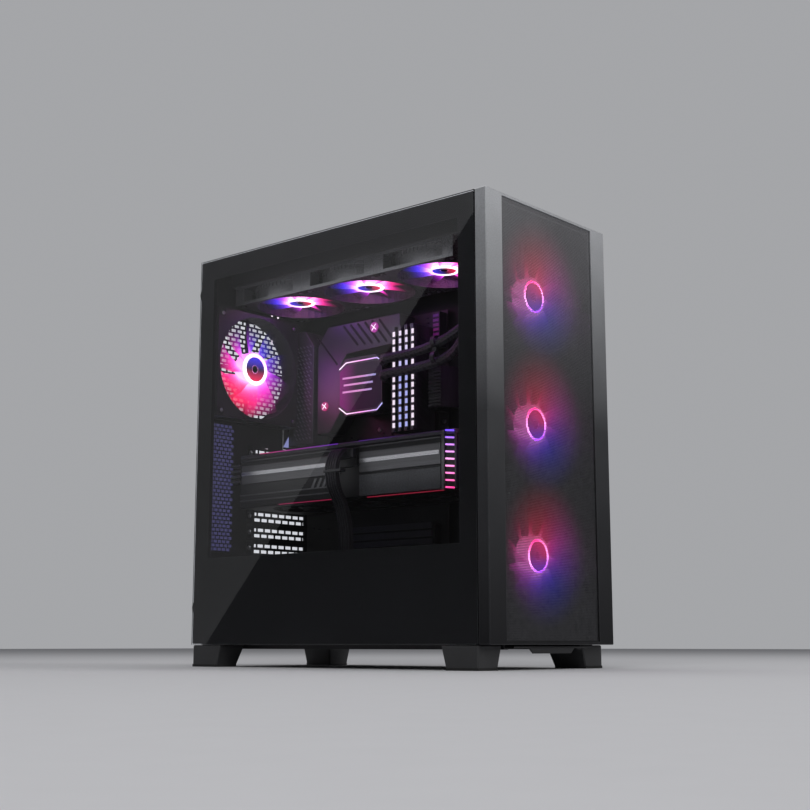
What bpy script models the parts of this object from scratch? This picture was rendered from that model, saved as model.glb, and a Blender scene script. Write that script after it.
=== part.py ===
"""Mid-tower desktop computer: steel chassis, glass side, mesh front, fans, liquid cooler and boards.

Metres, +Z up. The origin is on the floor under the middle of the case. The front faces -Y and the
glass side faces -X. Depths are measured back from the front face and levels up from the body's
lower edge, which the feet lift off the floor.
"""

import math

import bmesh
import bpy
from mathutils import Matrix, Vector

MM = 0.001

# Case envelope
BODY_WIDTH = 230.0 * MM
BODY_DEPTH = 457.4 * MM
BODY_HEIGHT = 481.4 * MM
FOOT_HEIGHT = 26.0 * MM
SCREW_PROUD = 5.5 * MM

# Sheet, glass and running gaps
SHEET = 1.0 * MM
GLASS = 4.0 * MM
GAP = 0.3 * MM
SLIDE_GAP = 0.5 * MM

# Front cover
COVER_DEPTH = 15.0 * MM
COVER_WALL = 1.2 * MM
COVER_REVEAL = 0.6 * MM
COVER_STRIP = 28.5 * MM
COVER_RIM = 3.2 * MM
MESH_THICK = 0.8 * MM
MESH_LAP = 2.0 * MM

# Glass side: printed border widths round the clear window
BORDER_FRONT = 24.4 * MM
BORDER_REAR = 23.4 * MM
BORDER_TOP = 25.9 * MM
BORDER_BOTTOM = 104.0 * MM
CARRIER_THICK = 1.2 * MM
CARRIER_INSET = 1.5 * MM
CARRIER_HIDDEN = 1.5 * MM

# Rear ears and thumbscrews
EAR_REACH = 13.5 * MM
EAR_HALF = 10.0 * MM
SCREW_SIDE = 10.5 * MM
SCREW_DROP = 41.4 * MM
SCREW_LEVELS = (45.0 * MM, BODY_HEIGHT - SCREW_DROP)
SCREW_HEAD_R = 6.0 * MM
SCREW_SHANK_R = 2.0 * MM
SCREW_HOLE_R = 2.6 * MM
SCREW_SHANK = 6.0 * MM

# Fans
FAN_LARGE = 140.0 * MM
FAN_SMALL = 120.0 * MM
FAN_THICK = 25.0 * MM
FAN_RIM = 3.3 * MM
FAN_FLANGE = 3.6 * MM
FAN_DUCT_WALL = 1.8 * MM
FAN_CORNER = 15.0 * MM
BLADE_TIP_GAP = 1.2 * MM
HUB_RECESS = 6.5 * MM
HUB_LARGE_R = 22.0 * MM
HUB_SMALL_R = 19.0 * MM
FRONT_FAN_GAP = 5.0 * MM
FRONT_FAN_SETBACK = 14.0 * MM
BLADES = 9

# Rear fan centre, from the glass side and from the top of the body
REAR_FAN_SIDE = 80.0 * MM
REAR_FAN_DROP = 129.4 * MM

# Board tray and board
CABLE_ROOM = 28.0 * MM
STANDOFF = 6.0 * MM
BOARD_THICK = 1.6 * MM
BOARD_LONG = 305.0 * MM
BOARD_DEEP = 244.0 * MM
BOARD_REAR_GAP = 5.0 * MM
BOARD_FLOOR_GAP = 9.1 * MM

# Expansion slots
SLOT_PITCH = 20.32 * MM
SLOT_COUNT = 7
SLOT_FIRST = 11.5 * MM
SLOT_WINDOW_HALF = 6.5 * MM
COVER_HALF = 9.2 * MM
COVER_LONG = 112.0 * MM
COVER_TAIL = 1.5 * MM
COVER_TAB = 11.0 * MM
CARD_SLOTS = (3, 5)

# Power-supply chamber
SHROUD_LEVEL = 101.4 * MM
PSU_WIDE = 150.0 * MM
PSU_HIGH = 86.0 * MM
PSU_DEEP = 160.0 * MM
PSU_LEVEL = 6.0 * MM
PSU_SIDE = 40.0 * MM

# Liquid cooler
ROOF_WEB = 6.0 * MM
RADIATOR_THICK = 22.0 * MM
RADIATOR_WIDE = 120.0 * MM
RADIATOR_PAD = 0.8 * MM
RADIATOR_SIDE = 109.0 * MM
TOP_FANS_DEPTH = 83.0 * MM
TANK_FRONT = 27.0 * MM
TANK_REAR = 9.0 * MM
TUBE_R = 6.0 * MM
PUMP_SIZE = 74.0 * MM
PUMP_TALL = 41.0 * MM
SOCKET_TALL = 7.8 * MM

# Graphics card
CARD_TALL = 139.0 * MM
CARD_BODY = 116.0 * MM
CARD_FRONT_ROOM = 43.0 * MM
CARD_REAR_ROOM = 23.0 * MM
CARD_BELOW = 55.6 * MM
CARD_ABOVE = 11.4 * MM
BACKPLATE_THICK = 5.7 * MM
CARD_FAN_R = 45.0 * MM
CARD_FAN_PITCH = 108.0 * MM
CARD_FAN_WELL = 20.0 * MM
CARD_HUB_R = 15.0 * MM

# Memory
MEMORY_COUNT = 4
MEMORY_PITCH = 10.2 * MM
MEMORY_THICK = 7.4 * MM
MEMORY_LONG = 133.0 * MM
MEMORY_TALL = 40.0 * MM
MEMORY_SLOT_TALL = 8.0 * MM
MEMORY_FRONT = 18.3 * MM

# Front controls, on the top just behind the front cover
PANEL_DEPTH = 28.0 * MM
POWER_R = 6.0 * MM
RESET_R = 3.0 * MM
POWER_SIDE = 36.0 * MM
RESET_SIDE = 20.0 * MM
BUTTON_TRAVEL = 1.0 * MM
USB_SIDES = (-4.0 * MM, -24.0 * MM)
USB_WIDE = 13.4 * MM
USB_DEEP = 6.0 * MM
USB_LONG = 12.0 * MM

# Worked-out planes
LEFT = -BODY_WIDTH / 2
RIGHT = BODY_WIDTH / 2
FRONT = -(BODY_DEPTH + SCREW_PROUD) / 2
REAR = FRONT + BODY_DEPTH
BASE = FOOT_HEIGHT
TOP = BASE + BODY_HEIGHT

PANE_FRONT = FRONT + COVER_DEPTH + COVER_REVEAL
CHASSIS_FRONT = PANE_FRONT
CHASSIS_LEFT = LEFT + GLASS + GAP + CARRIER_THICK + GAP
CHASSIS_RIGHT = RIGHT - COVER_WALL - GAP
EAR_FRONT = REAR - SHEET
WALL_OUT = EAR_FRONT - GAP
WALL_IN = WALL_OUT - SHEET
FLOOR_UNDER = BASE + 1.3 * MM
FLOOR_TOP = FLOOR_UNDER + SHEET
FILTER_THICK = 1.2 * MM
ROOF_TOP = TOP - FILTER_THICK - GAP
ROOF_UNDER = ROOF_TOP - SHEET
INNER_LOW = FLOOR_TOP + GAP
INNER_HIGH = ROOF_UNDER - GAP
POST = 27.0 * MM
BULKHEAD_BACK = FRONT + FRONT_FAN_SETBACK - GAP
BULKHEAD_FRONT = BULKHEAD_BACK - SHEET
POST_BACK = BULKHEAD_FRONT + POST
REAR_POST_FRONT = WALL_IN - FAN_THICK

TRAY_LEFT = CHASSIS_RIGHT - CABLE_ROOM - SHEET
BOARD_BACK = TRAY_LEFT - STANDOFF
BOARD_FACE = BOARD_BACK - BOARD_THICK
BOARD_REAR = WALL_IN - BOARD_REAR_GAP
BOARD_FRONT = BOARD_REAR - BOARD_DEEP
SHROUD_TOP = BASE + SHROUD_LEVEL
BOARD_LOW = SHROUD_TOP + BOARD_FLOOR_GAP
BOARD_TOP = BOARD_LOW + BOARD_LONG
COVER_BACK = WALL_IN - GAP
COVER_FRONT = COVER_BACK - SHEET
COVER_RIGHT = TRAY_LEFT - COVER_TAIL
COVER_LEFT = COVER_RIGHT - COVER_LONG

REAR_FAN_X = LEFT + REAR_FAN_SIDE
REAR_FAN_Z = TOP - REAR_FAN_DROP
FRONT_FAN_Y = FRONT + FRONT_FAN_SETBACK
FRONT_FAN_LEVELS = [
    BASE + BODY_HEIGHT / 2 + step * (FAN_LARGE + FRONT_FAN_GAP) for step in (-1, 0, 1)
]

RADIATOR_X = LEFT + RADIATOR_SIDE
RADIATOR_TOP = INNER_HIGH - RADIATOR_PAD
RADIATOR_LOW = RADIATOR_TOP - RADIATOR_THICK
TOP_FAN_Z = RADIATOR_LOW - GAP - FAN_THICK
TOP_FANS_Y = FRONT + TOP_FANS_DEPTH
TOP_FAN_CENTRES = [TOP_FANS_Y + (step + 0.5) * FAN_SMALL for step in range(3)]
PORT_Y = TOP_FANS_Y - TANK_FRONT / 2

CARD_LEFT = BOARD_FACE - CARD_TALL
CARD_RIGHT = CARD_LEFT + CARD_BODY
CARD_FRONT = FRONT_FAN_Y + FAN_THICK + CARD_FRONT_ROOM
CARD_REAR = WALL_IN - CARD_REAR_ROOM
CARD_LINE = BOARD_LOW + SLOT_FIRST + CARD_SLOTS[1] * SLOT_PITCH
CARD_LOW = CARD_LINE - CARD_BELOW
CARD_HIGH = CARD_LINE + CARD_ABOVE
CARD_FAN_X = (CARD_LEFT + CARD_RIGHT) / 2
CARD_FAN_CENTRES = [
    (CARD_FRONT + CARD_REAR) / 2 + step * CARD_FAN_PITCH for step in (-1, 0, 1)
]
CABLE_Y = (CARD_FRONT + CARD_REAR) / 2 - 14.0 * MM

SOCKET_Y = BOARD_REAR - 140.4 * MM
SOCKET_Z = BOARD_TOP - 91.5 * MM
MEMORY_Y = BOARD_FRONT + MEMORY_FRONT
MEMORY_Z = SOCKET_Z + 1.0 * MM
HEATSINK_FACE = BOARD_FACE - 32.0 * MM
PORTS_FACE = BOARD_FACE - 31.0 * MM

FRONT_PANEL_Y = FRONT + PANEL_DEPTH
BUTTON_TOP = TOP - 0.3 * MM
BUTTON_LOW = ROOF_UNDER - 2.0 * MM


# ---- materials ------------------------------------------------------------------------------


def finish_of(name, colour, roughness, metallic=0.0, clear=0.0, glow=0.0):
    """A plain surface: its colour, roughness, metallic value, transmission and glow."""
    look = bpy.data.materials.new(name)
    look.use_nodes = True
    shader = look.node_tree.nodes["Principled BSDF"]
    shader.inputs["Base Color"].default_value = (*colour, 1.0)
    shader.inputs["Roughness"].default_value = roughness
    shader.inputs["Metallic"].default_value = metallic
    shader.inputs["Transmission Weight"].default_value = clear
    shader.inputs["Emission Color"].default_value = (*colour, 1.0)
    shader.inputs["Emission Strength"].default_value = glow
    look.diffuse_color = (*colour, 1.0)
    return look


def charcoal_steel(name):
    return finish_of(name, (0.035, 0.035, 0.04), 0.45, 0.6)


def black_plastic(name):
    return finish_of(name, (0.012, 0.012, 0.014), 0.4)


def black_metal(name):
    return finish_of(name, (0.02, 0.02, 0.024), 0.35, 0.8)


def tinted_glass(name):
    return finish_of(name, (0.55, 0.57, 0.6), 0.03, 0.0, 0.9)


def frosted_blade(name):
    return finish_of(name, (0.75, 0.3, 0.8), 0.4, 0.0, 0.0, 0.6)


def black_rubber(name):
    return finish_of(name, (0.015, 0.015, 0.016), 0.85)


def bright_steel(name):
    return finish_of(name, (0.55, 0.55, 0.57), 0.3, 1.0)


# ---- modelling helpers ----------------------------------------------------------------------


def clear_scene():
    for item in list(bpy.data.objects):
        bpy.data.objects.remove(item, do_unlink=True)


def link(name, shape):
    item = bpy.data.objects.new(name, shape)
    bpy.context.scene.collection.objects.link(item)
    return item


def object_of(name, build):
    """An object whose mesh is what build(bm) makes, with every face turned outwards."""
    bm = bmesh.new()
    build(bm)
    bmesh.ops.recalc_face_normals(bm, faces=bm.faces[:])
    shape = bpy.data.meshes.new(name)
    bm.to_mesh(shape)
    bm.free()
    return link(name, shape)


def add_box(bm, x, y, z):
    """Adds a box with its low and high limits on each axis."""
    size = Vector((x[1] - x[0], y[1] - y[0], z[1] - z[0]))
    middle = Vector((x[0] + x[1], y[0] + y[1], z[0] + z[1])) / 2
    move = Matrix.Translation(middle) @ Matrix.Diagonal((*size, 1.0))
    bmesh.ops.create_cube(bm, size=1.0, matrix=move)


def boxes(name, *limits):
    """One object of separate boxes, each given as ((x0, x1), (y0, y1), (z0, z1))."""

    def build(bm):
        for x, y, z in limits:
            add_box(bm, x, y, z)

    return object_of(name, build)


def on_axis(axis, along, a, b):
    """The point at distance along the axis, with a and b on the other two axes in order."""
    if axis == "X":
        return (along, a, b)
    if axis == "Y":
        return (a, along, b)
    return (a, b, along)


def prism(name, outline, axis, start, end):
    """An outline pushed along an axis from start to end."""

    def build(bm):
        rings = [
            [bm.verts.new(on_axis(axis, along, a, b)) for a, b in outline]
            for along in (start, end)
        ]
        bm.faces.new(rings[0])
        bm.faces.new(rings[1])
        count = len(outline)
        for i in range(count):
            j = (i + 1) % count
            bm.faces.new((rings[0][i], rings[0][j], rings[1][j], rings[1][i]))

    return object_of(name, build)


def add_turned(bm, profile, axis, centre, steps):
    """Adds a closed solid of revolution; profile holds (radius, along) with both ends on the axis."""
    first, last = profile[0][1], profile[-1][1]
    rings = []
    for radius, along in profile[1:-1]:
        ring = []
        for i in range(steps):
            turn = 2 * math.pi * i / steps
            a = centre[0] + radius * math.cos(turn)
            b = centre[1] + radius * math.sin(turn)
            ring.append(bm.verts.new(on_axis(axis, along, a, b)))
        rings.append(ring)
    for low, high in zip(rings, rings[1:]):
        for i in range(steps):
            j = (i + 1) % steps
            bm.faces.new((low[i], low[j], high[j], high[i]))
    for ring, along in ((rings[0], first), (rings[-1], last)):
        if abs(along - (profile[1][1] if ring is rings[0] else profile[-2][1])) < 1e-9:
            bm.faces.new(ring)
            continue
        tip = bm.verts.new(on_axis(axis, along, *centre))
        for i in range(steps):
            bm.faces.new((ring[i], ring[(i + 1) % steps], tip))


def turned(name, profile, axis, centre, steps=32):
    return object_of(name, lambda bm: add_turned(bm, profile, axis, centre, steps))


def rod(name, radius, axis, start, end, centres, steps=32):
    """Plain round rods along an axis, one at each centre."""
    profile = [(0, start), (radius, start), (radius, end), (0, end)]

    def build(bm):
        for centre in centres:
            add_turned(bm, profile, axis, centre, steps)

    return object_of(name, build)


def combine(target, other, operation):
    """Cuts other out of target, or joins it on; other stays as a hidden helper."""
    modifier = target.modifiers.new(operation.title(), "BOOLEAN")
    modifier.operation = operation
    modifier.solver = "EXACT"
    modifier.object = other
    other.hide_render = True
    other.display_type = "WIRE"


def carve(target, *cutters):
    for cutter in cutters:
        combine(target, cutter, "DIFFERENCE")
    return target


def weld(target, *others):
    for other in others:
        combine(target, other, "UNION")
    return target


def soften(item, width, segments=1):
    """Rounds the edges that are sharper than a gentle fold."""
    modifier = item.modifiers.new("Bevel", "BEVEL")
    modifier.width = width
    modifier.segments = segments
    modifier.limit_method = "ANGLE"
    modifier.angle_limit = math.radians(40)
    return item


def dress(item, look, smooth=False):
    """Gives an object its material, and smooth shading where it is round."""
    item.data.materials.clear()
    item.data.materials.append(look)
    if smooth:
        item.data.shade_smooth()
        item.data.set_sharp_from_angle(angle=math.radians(35))
    return item


def settle(item, *helpers):
    """The object's evaluated mesh, after which the object and its helpers are removed."""
    bpy.context.view_layer.update()
    graph = bpy.context.evaluated_depsgraph_get()
    shape = bpy.data.meshes.new_from_object(item.evaluated_get(graph))
    for used in (item, *helpers):
        bpy.data.objects.remove(used, do_unlink=True)
    return shape


def put_origin(item, point):
    """Moves the object's origin to a point, with its shape left where it is."""
    item.data.transform(Matrix.Translation(-Vector(point)))
    item.location = point
    return item


def framed(low, high, inset_low, inset_high):
    """The low and high limits drawn in by two insets."""
    return (low + inset_low, high - inset_high)


# ---- chassis --------------------------------------------------------------------------------


def slot_level(index):
    return BOARD_LOW + SLOT_FIRST + index * SLOT_PITCH


def make_floor():
    """The floor pan with two hangers under it that the dust filter slides in."""
    rail_out, rail_in, lip = 71.2 * MM, 70.0 * MM, 64.0 * MM
    drop, lip_thick = 6.2 * MM, 1.0 * MM
    low = FLOOR_UNDER - drop
    outline = [
        (CHASSIS_LEFT, FLOOR_TOP),
        (CHASSIS_LEFT, FLOOR_UNDER),
        (-rail_out, FLOOR_UNDER),
        (-rail_out, low),
        (-lip, low),
        (-lip, low + lip_thick),
        (-rail_in, low + lip_thick),
        (-rail_in, FLOOR_UNDER),
        (rail_in, FLOOR_UNDER),
        (rail_in, low + lip_thick),
        (lip, low + lip_thick),
        (lip, low),
        (rail_out, low),
        (rail_out, FLOOR_UNDER),
        (CHASSIS_RIGHT, FLOOR_UNDER),
        (CHASSIS_RIGHT, FLOOR_TOP),
    ]
    floor = prism("chassis_floor", outline, "Y", CHASSIS_FRONT, WALL_OUT)
    half = PSU_WIDE / 2 - 18 * MM
    middle = psu_middle()
    depth = framed(WALL_IN - PSU_DEEP, WALL_IN, 18 * MM, 22 * MM)
    inside = (max(middle - half, -lip + SHEET), min(middle + half, lip - SHEET))
    intake = boxes("floor_intake_cut", (inside, depth, (low, TOP)))
    carve(floor, intake)
    return dress(floor, charcoal_steel("floor_steel"))


def psu_middle():
    return LEFT + PSU_SIDE + PSU_WIDE / 2


def make_rear_wall():
    """The rear wall: fan hole, port window, slot windows, supply window and screw holes."""
    outline = [
        (CHASSIS_LEFT, REAR_POST_FRONT),
        (CHASSIS_LEFT + SHEET, REAR_POST_FRONT),
        (CHASSIS_LEFT + SHEET, WALL_IN),
        (CHASSIS_RIGHT, WALL_IN),
        (CHASSIS_RIGHT, WALL_OUT),
        (CHASSIS_LEFT, WALL_OUT),
    ]
    wall = prism("rear_wall", outline, "Z", INNER_LOW, INNER_HIGH)
    through = (WALL_IN - 3 * MM, WALL_OUT + 3 * MM)
    fan_hole = rod(
        "rear_fan_cut", FAN_LARGE / 2 - FAN_RIM, "Y", *through, [(REAR_FAN_X, REAR_FAN_Z)], 48
    )
    windows = [
        ((COVER_LEFT + 12 * MM, COVER_RIGHT - 8 * MM), through, limits_about(slot_level(i), SLOT_WINDOW_HALF))
        for i in range(SLOT_COUNT)
    ]
    windows.append(port_window(through))
    windows.append(
        (
            framed(psu_middle() - PSU_WIDE / 2, psu_middle() + PSU_WIDE / 2, 6 * MM, 6 * MM),
            through,
            framed(BASE + PSU_LEVEL, BASE + PSU_LEVEL + PSU_HIGH, 5 * MM, 5 * MM),
        )
    )
    screws = rod("rear_screw_cut", SCREW_HOLE_R, "Y", *through, screw_places(), 16)
    carve(wall, fan_hole, boxes("rear_window_cut", *windows), screws)
    return dress(wall, charcoal_steel("rear_wall_steel"))


def limits_about(middle, half):
    return (middle - half, middle + half)


def port_window(through):
    """The board's port window, 44.5 mm by 158.8 mm, beside the board's rear edge."""
    low = slot_level(SLOT_COUNT - 1) + COVER_HALF + 2.5 * MM
    return ((BOARD_FACE + 1.9 * MM - 44.45 * MM, BOARD_FACE + 1.9 * MM), through, (low, low + 158.75 * MM))


def screw_places():
    """Centres of the four thumbscrews as (x, z): both sides, low and high."""
    return [
        (side, BASE + level)
        for side in (LEFT + SCREW_SIDE, RIGHT - SCREW_SIDE)
        for level in SCREW_LEVELS
    ]


def make_tray():
    """The board tray with its stand-offs, cooler window and three cable windows."""
    tray = boxes(
        "motherboard_tray",
        ((TRAY_LEFT, TRAY_LEFT + SHEET), (POST_BACK + GAP, COVER_BACK), (INNER_LOW, INNER_HIGH)),
    )
    reach = (TRAY_LEFT - 2 * MM, TRAY_LEFT + SHEET + 2 * MM)
    holes = [(reach, limits_about(SOCKET_Y, 60 * MM), limits_about(SOCKET_Z, 44 * MM))]
    for level in cable_window_levels():
        holes.append((reach, cable_window_depth(), limits_about(level, 34 * MM)))
    posts = []
    for along in (6.4 * MM, 130.0 * MM, 237.0 * MM):
        for up in (7.0 * MM, 163.0 * MM, 298.0 * MM):
            posts.append((BOARD_REAR - along, BOARD_LOW + up))
    carve(tray, boxes("tray_window_cut", *holes))
    weld(tray, rod("tray_posts", 3.2 * MM, "X", BOARD_BACK + GAP, TRAY_LEFT + SHEET / 2, posts, 6))
    return dress(tray, charcoal_steel("tray_steel"))


def cable_window_levels():
    return [power_plug_level() + step * 80 * MM for step in (1, 0, -1)]


def cable_window_depth():
    """Front and rear limits of the cable windows, just ahead of the board's front edge."""
    return (BOARD_FRONT - 38 * MM, BOARD_FRONT - 12 * MM)


def make_roof():
    """The roof sheet with side flanges, three airflow windows and the control cut-outs."""
    roof = boxes(
        "top_frame",
        ((CHASSIS_LEFT, CHASSIS_RIGHT), (CHASSIS_FRONT, WALL_OUT), (ROOF_UNDER, ROOF_TOP)),
    )
    depth = (POST_BACK + GAP, REAR_POST_FRONT - GAP)
    drop = (INNER_HIGH - 16 * MM, ROOF_UNDER + SHEET / 2)
    flanges = boxes(
        "roof_flanges",
        ((CHASSIS_LEFT, CHASSIS_LEFT + SHEET), depth, drop),
        ((CHASSIS_RIGHT - SHEET, CHASSIS_RIGHT), depth, drop),
    )
    up = (ROOF_UNDER - 3 * MM, TOP)
    window = FAN_SMALL / 2 - ROOF_WEB
    cuts = [
        (limits_about(RADIATOR_X, window), limits_about(centre, window), up)
        for centre in TOP_FAN_CENTRES
    ]
    cuts += [
        (
            limits_about(side, USB_WIDE / 2 + 0.5 * MM),
            limits_about(FRONT_PANEL_Y, USB_DEEP / 2 + 0.5 * MM),
            up,
        )
        for side in USB_SIDES
    ]
    button_holes = [(POWER_SIDE, POWER_R), (RESET_SIDE, RESET_R)]
    weld(roof, flanges)
    carve(roof, boxes("roof_window_cut", *cuts))
    for side, radius in button_holes:
        carve(roof, rod("roof_button_cut", radius + SLIDE_GAP, "Z", *up, [(side, FRONT_PANEL_Y)], 24))
    return dress(roof, charcoal_steel("roof_steel"))


def make_bulkhead():
    """The front fan wall, folded back at both sides into posts."""
    outline = [
        (CHASSIS_LEFT, BULKHEAD_FRONT),
        (CHASSIS_RIGHT, BULKHEAD_FRONT),
        (CHASSIS_RIGHT, POST_BACK),
        (CHASSIS_RIGHT - SHEET, POST_BACK),
        (CHASSIS_RIGHT - SHEET, BULKHEAD_BACK),
        (CHASSIS_LEFT + SHEET, BULKHEAD_BACK),
        (CHASSIS_LEFT + SHEET, POST_BACK),
        (CHASSIS_LEFT, POST_BACK),
    ]
    bulkhead = prism("front_bulkhead", outline, "Z", INNER_LOW, INNER_HIGH)
    through = (BULKHEAD_FRONT - 3 * MM, BULKHEAD_BACK + 3 * MM)
    places = [(0.0, level) for level in FRONT_FAN_LEVELS]
    carve(bulkhead, rod("front_fan_cut", FAN_LARGE / 2 - FAN_RIM, "Y", *through, places, 48))
    return dress(bulkhead, charcoal_steel("bulkhead_steel"))


def make_psu_shroud():
    """The folded cover over the power-supply chamber, with a window for the card's cable."""
    left = CHASSIS_LEFT + SHEET + GAP
    right = TRAY_LEFT - GAP
    outline = [
        (left, INNER_LOW),
        (left + SHEET, INNER_LOW),
        (left + SHEET, SHROUD_TOP - SHEET),
        (right, SHROUD_TOP - SHEET),
        (right, SHROUD_TOP),
        (left, SHROUD_TOP),
    ]
    shroud = prism("psu_shroud", outline, "Y", POST_BACK + GAP, WALL_IN - GAP)
    window = boxes(
        "shroud_window_cut",
        (
            (CARD_LEFT - 22 * MM, CARD_LEFT + 14 * MM),
            limits_about(CABLE_Y, 19 * MM),
            (SHROUD_TOP - 5 * MM, SHROUD_TOP + 5 * MM),
        ),
    )
    carve(shroud, window)
    return dress(shroud, charcoal_steel("shroud_steel"))


def make_chassis():
    make_floor()
    make_rear_wall()
    make_tray()
    make_roof()
    make_bulkhead()
    make_psu_shroud()


# ---- covers ---------------------------------------------------------------------------------


def make_glass_side():
    """The glass pane and the steel carrier behind its printed border, with two screw ears."""
    pane = boxes("glass_panel", ((LEFT, LEFT + GLASS), (PANE_FRONT, REAR), (BASE, TOP)))
    soften(pane, 0.6 * MM)
    dress(pane, tinted_glass("side_glass"))

    left = LEFT + GLASS + GAP
    right = left + CARRIER_THICK
    carrier = boxes(
        "glass_panel_frame",
        (
            (left, right),
            (PANE_FRONT + CARRIER_INSET, REAR),
            framed(BASE, TOP, CARRIER_INSET, CARRIER_INSET),
        ),
    )
    window = boxes(
        "carrier_window_cut",
        (
            (left - 2 * MM, right + 2 * MM),
            framed(PANE_FRONT, REAR, BORDER_FRONT - CARRIER_HIDDEN, BORDER_REAR - CARRIER_HIDDEN),
            framed(BASE, TOP, BORDER_BOTTOM - CARRIER_HIDDEN, BORDER_TOP - CARRIER_HIDDEN),
        ),
    )
    add_ears(carrier, left, 1, LEFT + SCREW_SIDE)
    carve(carrier, window)
    return dress(carrier, charcoal_steel("carrier_steel"))


def add_ears(panel, edge, inward, screw_x):
    """Two ears folded over the rear wall, each with a notch that is open to the inner side."""
    ears, notches = [], []
    for level in SCREW_LEVELS:
        x = sorted((edge, edge + inward * EAR_REACH))
        ears.append((x, (EAR_FRONT, REAR), limits_about(BASE + level, EAR_HALF)))
        x = sorted((screw_x - inward * SCREW_HOLE_R, edge + inward * 2 * EAR_REACH))
        notches.append((x, (EAR_FRONT - MM, REAR + MM), limits_about(BASE + level, SCREW_HOLE_R)))
    weld(panel, boxes(panel.name + "_ears", *ears))
    carve(panel, boxes(panel.name + "_notches", *notches))


def make_right_panel():
    """The plain steel side, with its top edge folded in over the roof."""
    fold = 10 * MM
    outline = [
        (RIGHT, BASE),
        (RIGHT, TOP),
        (RIGHT - fold, TOP),
        (RIGHT - fold, TOP - SHEET),
        (RIGHT - SHEET, TOP - SHEET),
        (RIGHT - SHEET, BASE),
    ]
    panel = prism("right_panel", outline, "Y", PANE_FRONT, REAR)
    add_ears(panel, RIGHT, -1, RIGHT - SCREW_SIDE)
    return dress(panel, charcoal_steel("right_panel_steel"))


def make_front_cover():
    """The front cover: a shallow tray with a tall opening, and the fine mesh behind it."""
    cover = boxes("front_panel", ((LEFT, RIGHT), (FRONT, FRONT + COVER_DEPTH), (BASE, TOP)))
    hollow = boxes(
        "cover_hollow_cut",
        (
            framed(LEFT, RIGHT, COVER_WALL, COVER_WALL),
            (FRONT + COVER_WALL, FRONT + COVER_DEPTH + MM),
            framed(BASE, TOP, COVER_WALL, COVER_WALL),
        ),
    )
    opening = boxes(
        "cover_opening_cut",
        (
            framed(LEFT, RIGHT, COVER_STRIP, COVER_STRIP),
            (FRONT - MM, FRONT + 2 * COVER_WALL),
            framed(BASE, TOP, COVER_RIM, COVER_RIM),
        ),
    )
    soften(cover, 0.8 * MM)
    carve(cover, hollow, opening)
    dress(cover, charcoal_steel("front_strip_steel"))

    mesh_front = FRONT + COVER_WALL + GAP
    side_in = COVER_STRIP - MESH_LAP
    mesh = boxes(
        "front_mesh",
        (
            framed(LEFT, RIGHT, side_in, side_in),
            (mesh_front, mesh_front + MESH_THICK),
            framed(BASE, TOP, COVER_WALL + GAP, COVER_WALL + GAP),
        ),
    )
    return dress(mesh, black_metal("front_mesh_steel"))


def make_filters():
    """The magnetic roof filter and the floor filter with its finger tab under the front."""
    roof = boxes(
        "top_filter",
        (
            limits_about(RADIATOR_X + 4 * MM, 78 * MM),
            (POST_BACK + 4 * MM, WALL_OUT - 10 * MM),
            (TOP - FILTER_THICK, TOP),
        ),
    )
    soften(roof, 0.4 * MM)
    dress(roof, black_plastic("roof_filter_plastic"))

    half, thick, under = 69.4 * MM, 2.0 * MM, FLOOR_UNDER - 4.9 * MM
    start = FRONT + 4 * MM
    floor = boxes("bottom_filter", ((-half, half), (start, WALL_IN - 25 * MM), (under, under + thick)))
    tab_top, tab_low = under + thick / 2, BASE - 9 * MM
    outline = [(-43 * MM, tab_top), (43 * MM, tab_top), (35 * MM, tab_low), (-35 * MM, tab_low)]
    weld(floor, prism("filter_tab", outline, "Y", start, start + 2 * MM))
    return dress(floor, black_plastic("floor_filter_plastic"))


def make_foot(name, side, corner, inward):
    """A tapered foot; corner is its upright end and inward points to its sloping end."""
    outer = side * (BODY_WIDTH / 2 - 0.6 * MM)
    top_low = BASE - 0.4 * MM
    rows = []
    for level, reach, width in ((top_low, 49 * MM, 40 * MM), (0.0, 42 * MM, 32.5 * MM)):
        ends = (corner, corner + inward * reach)
        rows.append([(x, y, level) for x in (outer, outer - side * width) for y in ends])

    def build(bm):
        points = [bm.verts.new(p) for row in rows for p in row]
        for face in ((0, 1, 3, 2), (4, 5, 7, 6), (0, 1, 5, 4), (2, 3, 7, 6), (0, 2, 6, 4), (1, 3, 7, 5)):
            bm.faces.new([points[i] for i in face])

    foot = object_of(name, build)
    boss_x = sorted((outer - side * 10 * MM, outer - side * 36 * MM))
    boss_y = sorted((corner + inward * 6 * MM, corner + inward * 44 * MM))
    boss = boxes(name + "_boss", (boss_x, boss_y, (top_low - 2 * MM, FLOOR_UNDER - GAP)))
    soften(foot, 1.2 * MM)
    weld(foot, boss)
    return dress(foot, black_rubber(name + "_plastic"))


def make_feet():
    front, rear = CHASSIS_FRONT + GAP, REAR - 3 * MM
    for side, side_name in ((-1, "left"), (1, "right")):
        make_foot(f"foot_front_{side_name}", side, front, 1)
        make_foot(f"foot_rear_{side_name}", side, rear, -1)


def make_thumbscrews():
    """The two thumbscrews that hold the glass side, each turning about its own axis."""
    x = LEFT + SCREW_SIDE
    head = REAR + GAP
    tip = head - SHEET - GAP - SCREW_SHANK
    for level, name in zip(SCREW_LEVELS, ("lower", "upper")):
        z = BASE + level
        profile = [
            (0, tip),
            (SCREW_SHANK_R, tip),
            (SCREW_SHANK_R, head),
            (SCREW_HEAD_R, head),
            (SCREW_HEAD_R, REAR + SCREW_PROUD),
            (0, REAR + SCREW_PROUD),
        ]
        screw = turned(f"thumbscrew_{name}", profile, "Y", (x, z), 24)
        put_origin(screw, (x, REAR, z))
        dress(screw, black_metal(f"thumbscrew_{name}_steel"), smooth=True)


# ---- fans -----------------------------------------------------------------------------------


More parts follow.
